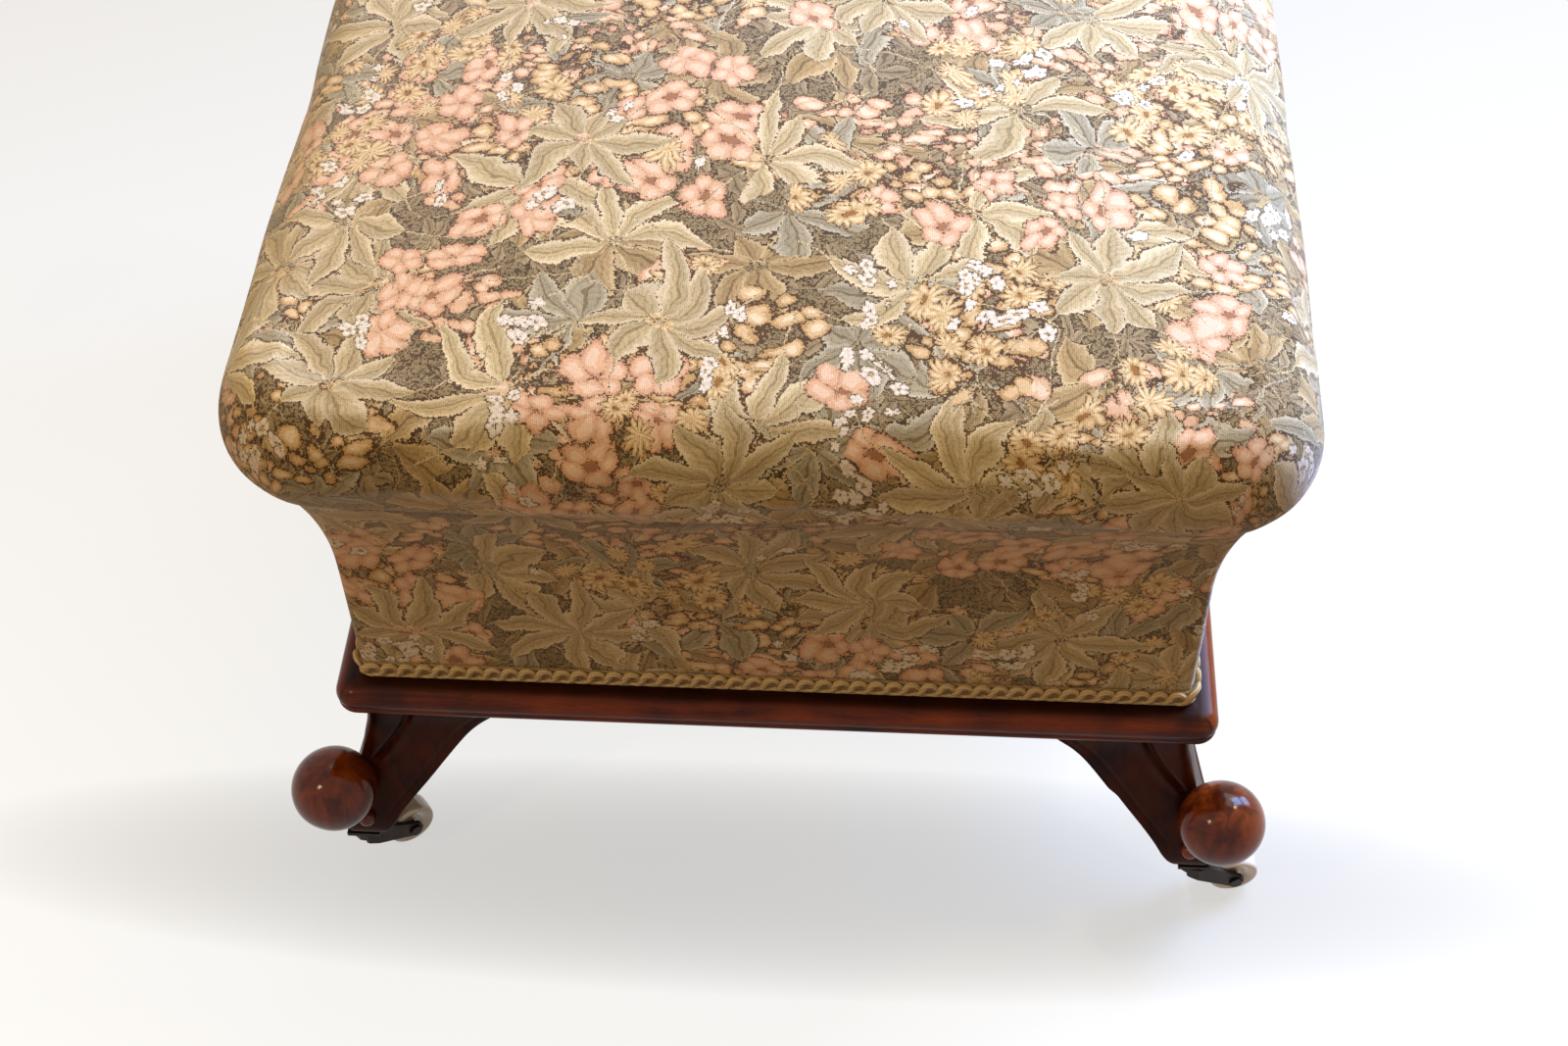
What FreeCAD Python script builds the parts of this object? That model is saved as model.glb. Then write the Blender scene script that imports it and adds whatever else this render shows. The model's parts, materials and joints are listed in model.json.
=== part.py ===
import FreeCAD, Part
import Sketcher
import math
import os

# Upholstered footstool on scrolled legs with castors. Millimetres, +Z up.
# The origin is on the floor under the middle of the stool, and +Y points away from the viewer.

doc = FreeCAD.newDocument("footstool")
sheet = doc.addObject("Spreadsheet::Sheet", "sizes")

# Driving sizes: name, value, what it is
DRIVING = [
    ("leg_tall", 96.0, "foot to the underside of the plinth"),
    ("plinth_thick", 17.0, "thickness of the plinth moulding"),
    ("plinth_show", 14.0, "nose of the plinth beyond the cloth"),
    ("plinth_wide", 66.0, "width of a plinth board"),
    ("plinth_corner", 11.0, "rounding of the plinth in plan"),
    ("flank_half", 203.0, "middle of the stool to the cloth above the plinth"),
    ("flank_upright", 85.0, "upright part of the flank"),
    ("flank_flare", 13.0, "how far the hollow of the flank sweeps out"),
    ("flank_corner", 5.0, "rounding of the flank corners in plan"),
    ("carcass_tall", 142.0, "height of the carcass boards"),
    ("board_thick", 20.0, "thickness of the carcass boards at the foot"),
    ("block_leg", 46.0, "leg of a triangular corner block"),
    ("block_tall", 110.0, "height of a corner block"),
    ("cloth_thick", 1.5, "tapestry with its lining"),
    ("flank_turn", 4.0, "cloth of the flank above the carcass, under the roll"),
    ("braid_tall", 12.0, "height of the braid"),
    ("braid_thick", 2.6, "thickness of the braid"),
    ("web_thick", 1.2, "thickness of the webbing"),
    ("web_wide", 50.0, "width of a strip of webbing"),
    ("web_edge", 48.0, "edge of the seat to the first strip of webbing"),
    ("hessian_thick", 0.6, "thickness of the hessian"),
    ("roll_set", 2.0, "heart of the edge roll inside the face of the flank"),
    ("roll_round", 38.0, "radius of the edge roll over the cloth"),
    ("roll_corner", 8.0, "plan radius of the heart of the roll at a corner"),
    ("roll_under", 67.0, "angle below level where the cloth tucks under"),
    ("roll_over", 79.0, "angle above level where the crown starts"),
    ("crown_rise", 20.0, "rise of the crown above the roll"),
    ("bottom_cloth_thick", 0.6, "thickness of the cloth below"),
    ("ball_round", 21.7, "radius of the ball toe"),
    ("ball_set", 0.9, "heart of the ball inside the outer face of the foot"),
    ("ball_lift", 42.4, "heart of the ball above the sole"),
    ("foot_show", 9.0, "outer face of the foot beyond the nose of the plinth"),
    ("leg_top_set", 21.5, "outer face of the leg at the plinth, inside the face of the foot"),
    ("leg_shin_set", 19.8, "outer face of the leg, upper part, likewise"),
    ("leg_shin_drop", 24.0, "that point below the plinth"),
    ("leg_knee_set", 14.2, "outer face of the leg half way down, likewise"),
    ("leg_knee_lift", 50.0, "that point above the sole"),
    ("leg_ankle_set", 6.5, "outer face of the leg over the foot, likewise"),
    ("leg_ankle_lift", 29.0, "that point above the sole"),
    ("leg_foot_lift", 15.0, "upright part of the foot"),
    ("leg_top_deep", 96.0, "inner end of the leg at the plinth, inside the face of the foot"),
    ("leg_flare_deep", 87.0, "middle of the flare under the plinth, likewise"),
    ("leg_flare_drop", 12.0, "that point below the plinth"),
    ("leg_neck_deep", 77.0, "where the flare meets the straight back, likewise"),
    ("leg_neck_drop", 20.0, "that point below the plinth"),
    ("leg_heel_deep", 32.0, "lower end of the straight back, likewise"),
    ("leg_heel_lift", 18.0, "that point above the sole"),
    ("leg_curl_deep", 26.5, "middle of the heel's curl, likewise"),
    ("leg_curl_lift", 8.0, "that point above the sole"),
    ("leg_sole_deep", 19.0, "inner end of the flat sole, likewise"),
    ("pivot_set", 9.0, "castor pivot inside the outer face of the foot"),
    ("wheel_ahead", 8.7, "pivot to the nearest point of the wheel, level"),
    ("turn_front_left", 38.0, "swivel of the castor at rest"),
    ("turn_front_right", 10.0, "swivel of the castor at rest"),
    ("turn_back_left", 30.0, "swivel of the castor at rest"),
    ("turn_back_right", 20.0, "swivel of the castor at rest"),
    ("wheel_round", 13.3, "radius of the wheel"),
    ("wheel_wide", 13.0, "width of the wheel"),
    ("axle_round", 2.0, "radius of the axle"),
    ("axle_head_round", 3.3, "radius of the riveted end of the axle"),
    ("axle_head_thick", 1.2, "thickness of the riveted end"),
    ("cheek_thick", 2.3, "thickness of a fork cheek"),
    ("cheek_boss", 4.6, "radius of the cheek around the axle"),
    ("cheek_gap", 0.5, "side play of the wheel"),
    ("crown_lift", 10.5, "axle to the underside of the fork's crown"),
    ("crown_thick", 4.4, "thickness of the fork's crown"),
    ("crown_back", 8.2, "pivot to the back of the fork's crown"),
    ("crown_end", 9.0, "pivot to the front of the fork's crown"),
    ("crown_gap", 0.3, "play above and below the fork's crown"),
    ("plate_half", 8.5, "half the side of the castor plate"),
    ("plate_thick", 2.5, "thickness of the castor plate"),
    ("pivot_round", 3.0, "radius of the pivot rivet"),
    ("pivot_head_round", 4.8, "radius of the rivet's lower head"),
    ("pivot_head_thick", 1.6, "thickness of the rivet's lower head"),
    ("screw_apart", 5.6, "castor screws to the pivot, along and across"),
    ("screw_round", 1.6, "radius of a castor screw"),
    ("screw_long", 14.0, "length of a castor screw"),
    ("leg_screw_round", 3.0, "radius of a leg screw"),
    ("leg_screw_long", 44.0, "length of a leg screw"),
    ("leg_screw_head", 5.5, "radius of its sunk head"),
    ("leg_screw_head_thick", 3.0, "thickness of its head"),
    ("leg_screw_set", 43.0, "leg screw inside the outer face of the foot"),
    ("leg_screw_deep", 65.0, "leg screw inside the other face of the foot"),
    ("tack_set", 21.0, "row of tacks inside the nose of the plinth"),
    ("tack_end", 22.0, "inner end of a leg to the last tack of a row"),
    ("tack_head", 5.0, "side of a tack's head"),
    ("tack_head_thick", 0.7, "thickness of a tack's head"),
    ("tack_shank", 1.6, "side of a tack's shank"),
    ("tack_long", 9.0, "length of a tack"),
    ("seat_gap", 0.3, "space left between soft layers"),
    ("run_gap", 0.06, "radial clearance of a turning fit"),
    ("hole_gap", 0.05, "radial clearance of a screw hole"),
]


class Measure:
    """A size that carries its value and the sheet expression it comes from."""

    def __init__(self, value, text):
        self.value, self.text = float(value), text

    @staticmethod
    def of(thing):
        return thing if isinstance(thing, Measure) else Measure(thing, repr(float(thing)))

    def join(self, other, sign, value):
        return Measure(value, f"({self.text} {sign} {other.text})")

    def __add__(self, other):
        other = Measure.of(other)
        return self.join(other, "+", self.value + other.value)

    def __radd__(self, other):
        return Measure.of(other) + self

    def __sub__(self, other):
        other = Measure.of(other)
        return self.join(other, "-", self.value - other.value)

    def __rsub__(self, other):
        return Measure.of(other) - self

    def __mul__(self, other):
        other = Measure.of(other)
        return self.join(other, "*", self.value * other.value)

    def __rmul__(self, other):
        return Measure.of(other) * self

    def __truediv__(self, other):
        other = Measure.of(other)
        return self.join(other, "/", self.value / other.value)

    def __neg__(self):
        return Measure(-self.value, f"(0 - {self.text})")


def root(size):
    return Measure(math.sqrt(size.value), f"sqrt({size.text})")


def cosine(angle):
    return Measure(math.cos(math.radians(angle.value)), f"cos({angle.text} * 1 deg)")


def sine(angle):
    return Measure(math.sin(math.radians(angle.value)), f"sin({angle.text} * 1 deg)")


class Sizes:
    """The driving sizes by name."""


size = Sizes()
for row, (name, value, meaning) in enumerate(DRIVING, start=1):
    sheet.set(f"A{row}", name)
    sheet.set(f"B{row}", str(value))
    sheet.set(f"C{row}", meaning)
    sheet.setAlias(f"B{row}", name)
    setattr(size, name, Measure(value, f"sizes.{name}"))
doc.recompute()

ZERO = Measure.of(0)
QUARTER, FULL = 90.0, 360.0
NODES = []


def bind(thing, path, measure):
    thing.setExpression(path, Measure.of(measure).text)


def node(thing, label):
    """Give a sub-part its name and list it for export."""
    thing.Label = label
    NODES.append(thing)
    return thing


# Helpers for bodies and sketches

def new_body(name):
    return doc.addObject("PartDesign::Body", name)


def sketch(body, name, role, height=None, shift=None):
    plane = next(f for f in body.Origin.OriginFeatures if f.Role == role)
    made = body.newObject("Sketcher::SketchObject", name)
    made.AttachmentSupport = [(plane, "")]
    made.MapMode = "FlatFace"
    if height is not None:
        bind(made, "AttachmentOffset.Base.z", height)
    if shift is not None:
        bind(made, "AttachmentOffset.Base.x", shift)
    return made


def tie(made, geometry, end, point):
    """Constraints that hold one end of an edge, or a circle's centre, at its x and y."""
    return [(Sketcher.Constraint(kind, -1, 1, geometry, end, Measure.of(measure).value),
             Measure.of(measure).text)
            for kind, measure in zip(("DistanceX", "DistanceY"), point)]


def constrain(made, ties):
    """Add constraints in one go, each with its expression or None."""
    first = made.ConstraintCount
    made.addConstraint([constraint for constraint, _ in ties])
    for index, (_, text) in enumerate(ties, start=first):
        if text is not None:
            made.setExpression(f"Constraints[{index}]", text)


def outline(made, points):
    """A closed outline. A point is (x, y) or (x, y, radius, side): the arc to the next point
    then bulges to the right of the way there for side 1, and to the left for side -1."""
    vectors = [FreeCAD.Vector(Measure.of(p[0]).value, Measure.of(p[1]).value, 0) for p in points]
    base, edges, ends, ties = made.GeometryCount, [], [], []
    for index, point in enumerate(points):
        start, end = vectors[index], vectors[(index + 1) % len(points)]
        if len(point) == 2:
            edges.append(Part.LineSegment(start, end))
            ends.append((1, 2))
            continue
        radius, side = Measure.of(point[2]), point[3]
        chord = end - start
        across = FreeCAD.Vector(chord.y, -chord.x, 0).normalize() * side
        reach = radius.value - math.sqrt(radius.value ** 2 - (chord.Length / 2) ** 2)
        edges.append(Part.Arc(start, (start + end) * 0.5 + across * reach, end))
        ends.append((1, 2) if side > 0 else (2, 1))
        ties.append((Sketcher.Constraint("Radius", base + index, radius.value), radius.text))
    made.addGeometry(edges, False)
    for index, point in enumerate(points):
        following = (index + 1) % len(points)
        ties += tie(made, base + index, ends[index][0], point[:2])
        ties.append((Sketcher.Constraint("Coincident", base + index, ends[index][1],
                                         base + following, ends[following][0]), None))
    constrain(made, ties)
    return made


def circle(made, x, y, radius):
    radius = Measure.of(radius)
    centre = FreeCAD.Vector(Measure.of(x).value, Measure.of(y).value, 0)
    geometry = made.addGeometry(
        Part.Circle(centre, FreeCAD.Vector(0, 0, 1), radius.value), False)
    constrain(made, [*tie(made, geometry, 3, (x, y)),
                     (Sketcher.Constraint("Radius", geometry, radius.value), radius.text)])


def on_arc(centre, radius, first, last, count):
    """Points along an arc given in degrees, for an outline laid in short chords."""
    angles = [first + (last - first) * step / count for step in range(count + 1)]
    return [(centre[0] + radius * cosine(Measure.of(angle)),
             centre[1] + radius * sine(Measure.of(angle))) for angle in angles]


def many_sided(made, x, y, radius, across_flats=False, sides=8):
    """An even-sided outline, for screws, for holes that nothing turns in and for the ball."""
    if across_flats:
        radius = radius / math.cos(math.pi / sides)
    return outline(made, on_arc((x, y), radius, 0, FULL * (sides - 1) / sides, sides - 1))


def rounded_square(made, half, corner):
    """Walked from the middle of the +X side, so that a profile there can run along it."""
    flat = half - corner
    outline(made, [
        (half, ZERO), (half, flat, corner, 1), (flat, half), (-flat, half, corner, 1),
        (-half, flat), (-half, -flat, corner, 1), (-flat, -half), (flat, -half, corner, 1),
        (half, -flat)])
    return made


def feature(body, kind, name, profile):
    made = body.newObject(f"PartDesign::{kind}", name)
    made.Profile = (profile, [""])
    return made


def extrude(body, kind, name, profile, length, symmetric=False, flip=False):
    made = feature(body, kind, name, profile)
    bind(made, "Length", length)
    made.SideType = "Symmetric" if symmetric else "One side"
    made.Reversed = flip
    return made


def turned(body, name, profile, angle=360.0, flip=False):
    """Turn a profile drawn in X and Z about its own upright axis."""
    made = feature(body, "Revolution", name, profile)
    made.ReferenceAxis = (profile, ["V_Axis"])
    made.Angle = angle
    made.Reversed = flip
    return made


def run_round(body, label, half, corner, points):
    """Run a moulding round a square with rounded corners. The points are x from the middle of
    the stool and z, along the +X side: a straight run, and a turn about the corner's axis."""
    heart = half - corner
    profile = sketch(body, f"{label}_section", "XZ_Plane", -heart, heart)
    outline(profile, [(point[0] - heart, *point[1:]) for point in points])
    run = extrude(body, "Pad", f"{label}_run", profile, heart * 2)
    turn = turned(body, f"{label}_turn", profile, QUARTER)
    return repeat(body, f"{label}_round", [run, turn], 4)


def repeat(body, name, features, times):
    """Repeat features evenly round the body's own upright axis."""
    made = body.newObject("PartDesign::PolarPattern", name)
    made.Originals = features
    made.Axis = (next(f for f in body.Origin.OriginFeatures if f.Role == "Z_Axis"), [""])
    made.Angle = FULL
    made.Occurrences = times
    body.Tip = made
    return made


def combine(kind, name, base, tool):
    """What two forms share (Common), both in one (Fuse), or the first less the second (Cut)."""
    made = doc.addObject(f"Part::{kind}", name)
    made.Base, made.Tool = base, tool
    return made


def quarter_turns(angle):
    return FreeCAD.Placement(FreeCAD.Vector(), FreeCAD.Rotation(angle, 0, 0))


def box(name, low, high):
    """A box between two corners, each bound to the sheet."""
    made = doc.addObject("Part::Box", name)
    for path, lower, upper in zip(("Length", "Width", "Height"), low, high):
        bind(made, path, Measure.of(upper) - lower)
    for axis, lower in zip("xyz", low):
        bind(made, f"Placement.Base.{axis}", lower)
    return made


def group(label, members):
    made = doc.addObject("Part::Compound", label)
    made.Links = members
    return node(made, label)


# Lines and heights that the pieces share: each line is a distance from the middle of the stool
plinth_half = size.flank_half + size.plinth_show
roll_half = size.flank_half - size.roll_set
foot_out = plinth_half + size.foot_show
leg_top_out = foot_out - size.leg_top_set
leg_top_in = foot_out - size.leg_top_deep
ball_half = foot_out - size.ball_set
pivot_half = foot_out - size.pivot_set
seat_half = size.flank_half - 1
trail = size.wheel_round + size.wheel_ahead
sole = size.wheel_round + size.crown_lift + size.crown_thick + size.crown_gap + size.plate_thick
plinth_low = sole + size.leg_tall
plinth_high = plinth_low + size.plinth_thick
carcass_high = plinth_high + size.carcass_tall
roll_high = carcass_high + size.roll_round + 2

CASTORS = {
    "front_left": (-1, -1, size.turn_front_left), "front_right": (1, -1, size.turn_front_right),
    "back_left": (-1, 1, size.turn_back_left), "back_right": (1, 1, size.turn_back_right)}
SIDES = ("front", "right", "back", "left")
CORNERS = {"back_right": 0, "back_left": 90, "front_left": 180, "front_right": 270}


# Plinth: four mitred boards with a rounded nose
def frame_of(body, label, half, corner, inner, low, tall):
    """A flat square frame, wide enough to carry a moulding round its edge."""
    plan = rounded_square(sketch(body, f"{label}_plan", "XY_Plane", low), half, corner)
    extrude(body, "Pad", f"{label}_frame", plan, tall)
    return sketch(body, f"{label}_window", "XY_Plane", low + tall), inner, tall


def cut_window(body, label, window):
    """Open the middle of the frame, once its moulding is on."""
    plan, inner, tall = window
    outline(plan, [(inner, inner), (-inner, inner), (-inner, -inner), (inner, -inner)])
    extrude(body, "Pocket", f"{label}_opening", plan, tall)


def plinth():
    moulding = new_body("plinth_moulding")
    nose = size.plinth_thick / 2
    step = size.plinth_corner - 2
    join = plinth_half - step
    window = frame_of(moulding, "plinth", join, size.plinth_corner - step,
                      plinth_half - size.plinth_wide, plinth_low, size.plinth_thick)
    heart = (plinth_half - nose, plinth_low + nose)
    run_round(moulding, "nosing", plinth_half, size.plinth_corner,
              [(join, plinth_low), *on_arc(heart, nose, -90, 90, 5), (join, plinth_high)])
    cut_window(moulding, "plinth", window)
    for label, radius, deep in (
            ("shank", size.leg_screw_round, size.plinth_thick),
            ("head", size.leg_screw_head, size.leg_screw_head_thick)):
        drilling = sketch(moulding, f"screw_{label}_places", "XY_Plane", plinth_high)
        for x, y in leg_screw_places():
            many_sided(drilling, x, y, radius + size.hole_gap)
        extrude(moulding, "Pocket", f"screw_{label}_holes", drilling, deep)
    reach = plinth_half + 10
    for index, side in enumerate(SIDES):
        wedge = new_body(f"plinth_mitre_{side}")
        corner = sketch(wedge, f"mitre_plan_{side}", "XY_Plane", plinth_low - 1)
        outline(corner, [(ZERO, ZERO), (-reach, -reach), (reach, -reach)])
        extrude(wedge, "Pad", f"mitre_{side}", corner, size.plinth_thick + 2)
        wedge.Placement = quarter_turns(QUARTER * index)
        node(combine("Common", f"plinth_{side}", moulding, wedge), f"plinth_{side}")


def leg_screw_places():
    """Two screws to a leg, one through each of the boards that meet over it."""
    far, near = foot_out - size.leg_screw_set, foot_out - size.leg_screw_deep
    return [(x * a, y * b) for x in (1, -1) for y in (1, -1) for a, b in ((near, far), (far, near))]


# Carcass: four hollowed boards on the plinth, with glued blocks in the corners
def flank_face(offset, low, high):
    """Outer line of the flank from low to high, set in by offset: upright, then a hollow."""
    start = plinth_high + size.flank_upright
    rise = carcass_high - start
    hollow = (rise * rise + size.flank_flare * size.flank_flare) / (2 * size.flank_flare)
    face = size.flank_half - offset
    radius = hollow + offset
    points = [(face, low), (face, start)]
    chords = 3
    for step in range(1, chords + 1):
        climb = (high - start) * step / chords
        points.append((face + radius - root(radius * radius - climb * climb), start + climb))
    return points


def carcass():
    moulding = new_body("carcass_moulding")
    inset = size.cloth_thick + size.seat_gap
    inside = size.flank_half - inset - size.board_thick
    step = size.flank_corner - 1
    join = size.flank_half - step
    window = frame_of(moulding, "carcass", join, size.flank_corner - step, inside,
                      plinth_high, size.carcass_tall)
    run_round(moulding, "hollowed_face", size.flank_half, size.flank_corner,
              flank_face(inset, plinth_high, carcass_high)
              + [(join, carcass_high), (join, plinth_high)])
    cut_window(moulding, "carcass", window)
    far = size.flank_half + size.flank_flare + 10
    spans = {
        "front": ((-far, -far), (far, -inside)), "back": ((-far, inside), (far, far)),
        "left": ((-far, -inside), (-inside, inside)), "right": ((inside, -inside), (far, inside))}
    for side, (low, high) in spans.items():
        room = box(f"carcass_room_{side}", (*low, plinth_high - 1), (*high, carcass_high + 1))
        node(combine("Common", f"carcass_{side}", moulding, room), f"carcass_{side}")
    for corner, angle in CORNERS.items():
        block = new_body(f"block_{corner}")
        plan = sketch(block, f"block_plan_{corner}", "XY_Plane", plinth_high)
        ease = 6
        outline(plan, [
            (inside, inside), (inside - size.block_leg, inside),
            (inside - size.block_leg, inside - ease), (inside - ease, inside - size.block_leg),
            (inside, inside - size.block_leg)])
        extrude(block, "Pad", f"block_{corner}_pad", plan, size.block_tall)
        block.Placement = quarter_turns(angle)
        node(block, f"corner_block_{corner}")


def flank_cloth():
    """The cloth of the flank, pulled over the hollow, and the braid over its lower edge."""
    cover = new_body("flank_cover")
    outer = flank_face(ZERO, plinth_high + size.seat_gap, carcass_high + size.flank_turn)
    inner = flank_face(size.cloth_thick, plinth_high + size.seat_gap,
                       carcass_high + size.flank_turn)
    run_round(cover, "pulled_cloth", size.flank_half, size.flank_corner, outer + inner[::-1])
    node(cover, "flank_cover")
    braid = new_body("gimp_braid")
    low = plinth_high + size.seat_gap
    face = size.flank_half + size.braid_thick
    ease = size.braid_thick / 3
    run_round(braid, "laid_braid", size.flank_half, size.flank_corner, [
        (size.flank_half, low), (face - ease, low), (face, low + ease),
        (face, low + size.braid_tall - ease), (face - ease, low + size.braid_tall),
        (size.flank_half, low + size.braid_tall)])
    node(braid, "gimp_braid")


# Seat: webbing and hessian over the carcass, two stuffings and the cloth
def seat_deck():
    level = carcass_high
    pitch = (seat_half * 2 - size.web_edge * 2 - size.web_wide) / 3
    for label, along_x in (("webbing_lengthwise", True), ("webbing_crosswise", False)):
        strips = []
        for number in range(4):
            middle = pitch * (number - 1.5)
            low, high = middle - size.web_wide / 2, middle + size.web_wide / 2
            first = (-seat_half, low, level) if along_x else (low, -seat_half, level)
            last = (seat_half, high, level) if along_x else (high, seat_half, level)
            last = (*last[:2], level + size.web_thick)
            strips.append(box(f"{label}_{number + 1}", first, last))
        group(label, strips)
        level = level + size.web_thick + size.seat_gap
    node(box("hessian", (-seat_half, -seat_half, level),
             (seat_half, seat_half, level + size.hessian_thick)), "hessian")
    return level + size.hessian_thick + size.seat_gap


def roll_outline(round_off, inner, low, chords):
    """Upright section of the edge roll, from an inner wall out to its round face."""
    radius = size.roll_round - round_off
    face = on_arc((roll_half, roll_high), radius, -size.roll_under, size.roll_over, chords)
    foot = [] if abs(low.value - face[0][1].value) < 0.01 else [(face[0][0], low)]
    return [(inner, low), *foot, *face, (inner, face[-1][1])]


def crown(body, label, round_off):
    """The crown over the roll: arched along and across, with the corners of the roll."""
    radius = size.roll_round - round_off
    edge = roll_half + radius * cosine(size.roll_over)
    foot = roll_high + radius * sine(size.roll_over)
    arch = (edge * edge + size.crown_rise * size.crown_rise) / (2 * size.crown_rise)
    rise = foot + size.crown_rise
    plan = sketch(body, f"{label}_plan", "XY_Plane", foot)
    rounded_square(plan, edge, size.roll_corner + radius * cosine(size.roll_over))
    extrude(body, "Pad", f"{label}_block", plan, size.crown_rise + 1)
    for role in ("XZ_Plane", "YZ_Plane"):
        waste = sketch(body, f"{label}_arch_{role[:2]}", role)
        outline(waste, [(edge + 1, foot), (edge, foot, arch, 1), (ZERO, rise, arch, 1),
                        (-edge, foot), (-edge - 1, foot), (-edge - 1, rise + 2),
                        (edge + 1, rise + 2)])
        extrude(body, "Pocket", f"{label}_cut_{role[:2]}", waste, edge * 3, symmetric=True)


def stuffed_form(label, round_off, low, chords):
    """The form of the pad at a depth under the cloth: its core and its edge roll."""
    body = new_body(label)
    radius = size.roll_round - round_off
    join = roll_high + radius * sine(size.roll_over)
    step = size.roll_corner - 2
    plan = sketch(body, f"{label}_core", "XY_Plane", low)
    rounded_square(plan, roll_half - step, size.roll_corner - step)
    extrude(body, "Pad", f"{label}_middle", plan, join - low)
    run_round(body, f"{label}_roll", roll_half, size.roll_corner,
              roll_outline(round_off, roll_half - step, low, chords))
    return body


def padding(low):
    """The pad fills the cloth: a lower stuffing with the edge roll, and a crowned one on it."""
    inset = size.cloth_thick + size.seat_gap
    node(stuffed_form("first_stuffing", inset, low, 3), "first_stuffing")
    second = new_body("second_stuffing")
    crown(second, "second_stuffing", inset)
    node(second, "second_stuffing")


def cloth():
    """The cloth over the pad: the outer form less the form inside it."""
    forms = []
    for label, inset, chords in (("cloth_outside", ZERO, 6),
                                 ("cloth_inside", size.cloth_thick, 3)):
        low = roll_high - size.roll_round * sine(size.roll_under) - (1 if inset.value else 0)
        body = stuffed_form(label, inset, low, chords)
        crown(body, label, inset)
        forms.append(body)
    node(combine("Cut", "top_cover", *forms), "top_cover")


# Legs: each sawn from two faces to the same scroll, with a ball toe on its corner
def scroll():
    """Outer line, foot, heel and back of a leg, seen from either side."""
    back = [
        (size.leg_flare_deep, plinth_low - size.leg_flare_drop),
        (size.leg_neck_deep, plinth_low - size.leg_neck_drop),
        (size.leg_heel_deep, sole + size.leg_heel_lift),
        (size.leg_curl_deep, sole + size.leg_curl_lift), (size.leg_sole_deep, sole)]
    face = [
        (ZERO, sole), (ZERO, sole + size.leg_foot_lift),
        (size.leg_ankle_set, sole + size.leg_ankle_lift),
        (size.leg_knee_set, sole + size.leg_knee_lift),
        (size.leg_shin_set, plinth_low - size.leg_shin_drop)]
    top = [(size.leg_top_set, plinth_low), (size.leg_top_deep, plinth_low)]
    return [(foot_out - inside, high) for inside, high in top + back + face]


def ball_toe():
    """The ball, worked flat by flat: a block cut back to the round from sixteen sides."""
    ball = new_body("ball_toe")
    face = on_arc((ZERO, ZERO), size.ball_round, -77, 77, 7)
    top, out = face[-1][1], size.ball_round * 1.5
    plan = sketch(ball, "ball_plan", "XY_Plane", -top)
    outline(plan, square(size.ball_round))
    extrude(ball, "Pad", "ball_block", plan, top * 2)
    waste = sketch(ball, "ball_waste", "XZ_Plane")
    outline(waste, [*face, (face[-1][0], top + 1), (out, top + 1), (out, -top - 1),
                    (face[0][0], -top - 1)])
    side = extrude(ball, "Pocket", "ball_side", waste, out * 2, symmetric=True)
    repeat(ball, "ball_sides", [side], 16)
    bind(ball, "Placement.Base.x", ball_half)
    bind(ball, "Placement.Base.y", ball_half)
    bind(ball, "Placement.Base.z", sole + size.ball_lift)
    return ball


def legs():
    """Four legs alike, with the ball on the outer corner of each."""
    sawn = new_body("sawn_leg")
    side = sketch(sawn, "leg_side", "XZ_Plane", -leg_top_in)
    outline(side, scroll())
    far = ball_half + size.ball_round
    extrude(sawn, "Pad", "first_sawing", side, far - leg_top_in, flip=True)
    waste = sketch(sawn, "leg_waste", "YZ_Plane")
    outline(waste, scroll())
    outline(waste, [(leg_top_in - 2, sole - 2), (far + 2, sole - 2), (far + 2, plinth_low + 2),
                    (leg_top_in - 2, plinth_low + 2)])
    extrude(sawn, "Pocket", "second_sawing", waste, far * 2 + 4, symmetric=True)
    ball = ball_toe()
    for corner, angle in CORNERS.items():
        made = combine("Fuse", f"leg_{corner}", sawn, ball)
        made.Placement = quarter_turns(angle)
        node(made, f"leg_{corner}")


def underside():
    """Dust cloth under the plinth, cut round the legs, with its tacks."""
    reach, inner = leg_top_out, leg_top_in - 2
    low = plinth_low - size.bottom_cloth_thick
    dust = new_body("bottom_cloth")
    plan = sketch(dust, "dust_plan", "XY_Plane", low)
    corner = [(reach, -inner), (reach, inner), (inner, inner)]
    points = []
    for quarter in range(4):
        for x, y in corner:
            for _ in range(quarter):
                x, y = -y, x
            points.append((x, y))
    outline(plan, points)
    extrude(dust, "Pad", "dust_sheet", plan, size.bottom_cloth_thick)
    node(dust, "bottom_cloth")
    members = []
    pitch = (leg_top_in - size.tack_end) * 2 / 3
    for side in range(4):
        for step in (-1.5, -0.5, 0.5, 1.5):
            x, y = plinth_half - size.tack_set, pitch * step
            for _ in range(side):
                x, y = -y, x
            number = len(members) // 2 + 1
            for part, half, foot, high in (
                    ("head", size.tack_head / 2, low - size.tack_head_thick, low),
                    ("shank", size.tack_shank / 2, low, low + size.tack_long)):
                members.append(box(f"tack_{part}_{number}", (x - half, y - half, foot),
                                   (x + half, y + half, high)))
    tacks = []
    for head, shank in zip(members[::2], members[1::2]):
        tacks.append(combine("Fuse", head.Name.replace("head", "whole"), head, shank))
    group("bottom_cloth_tacks", tacks)


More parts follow.
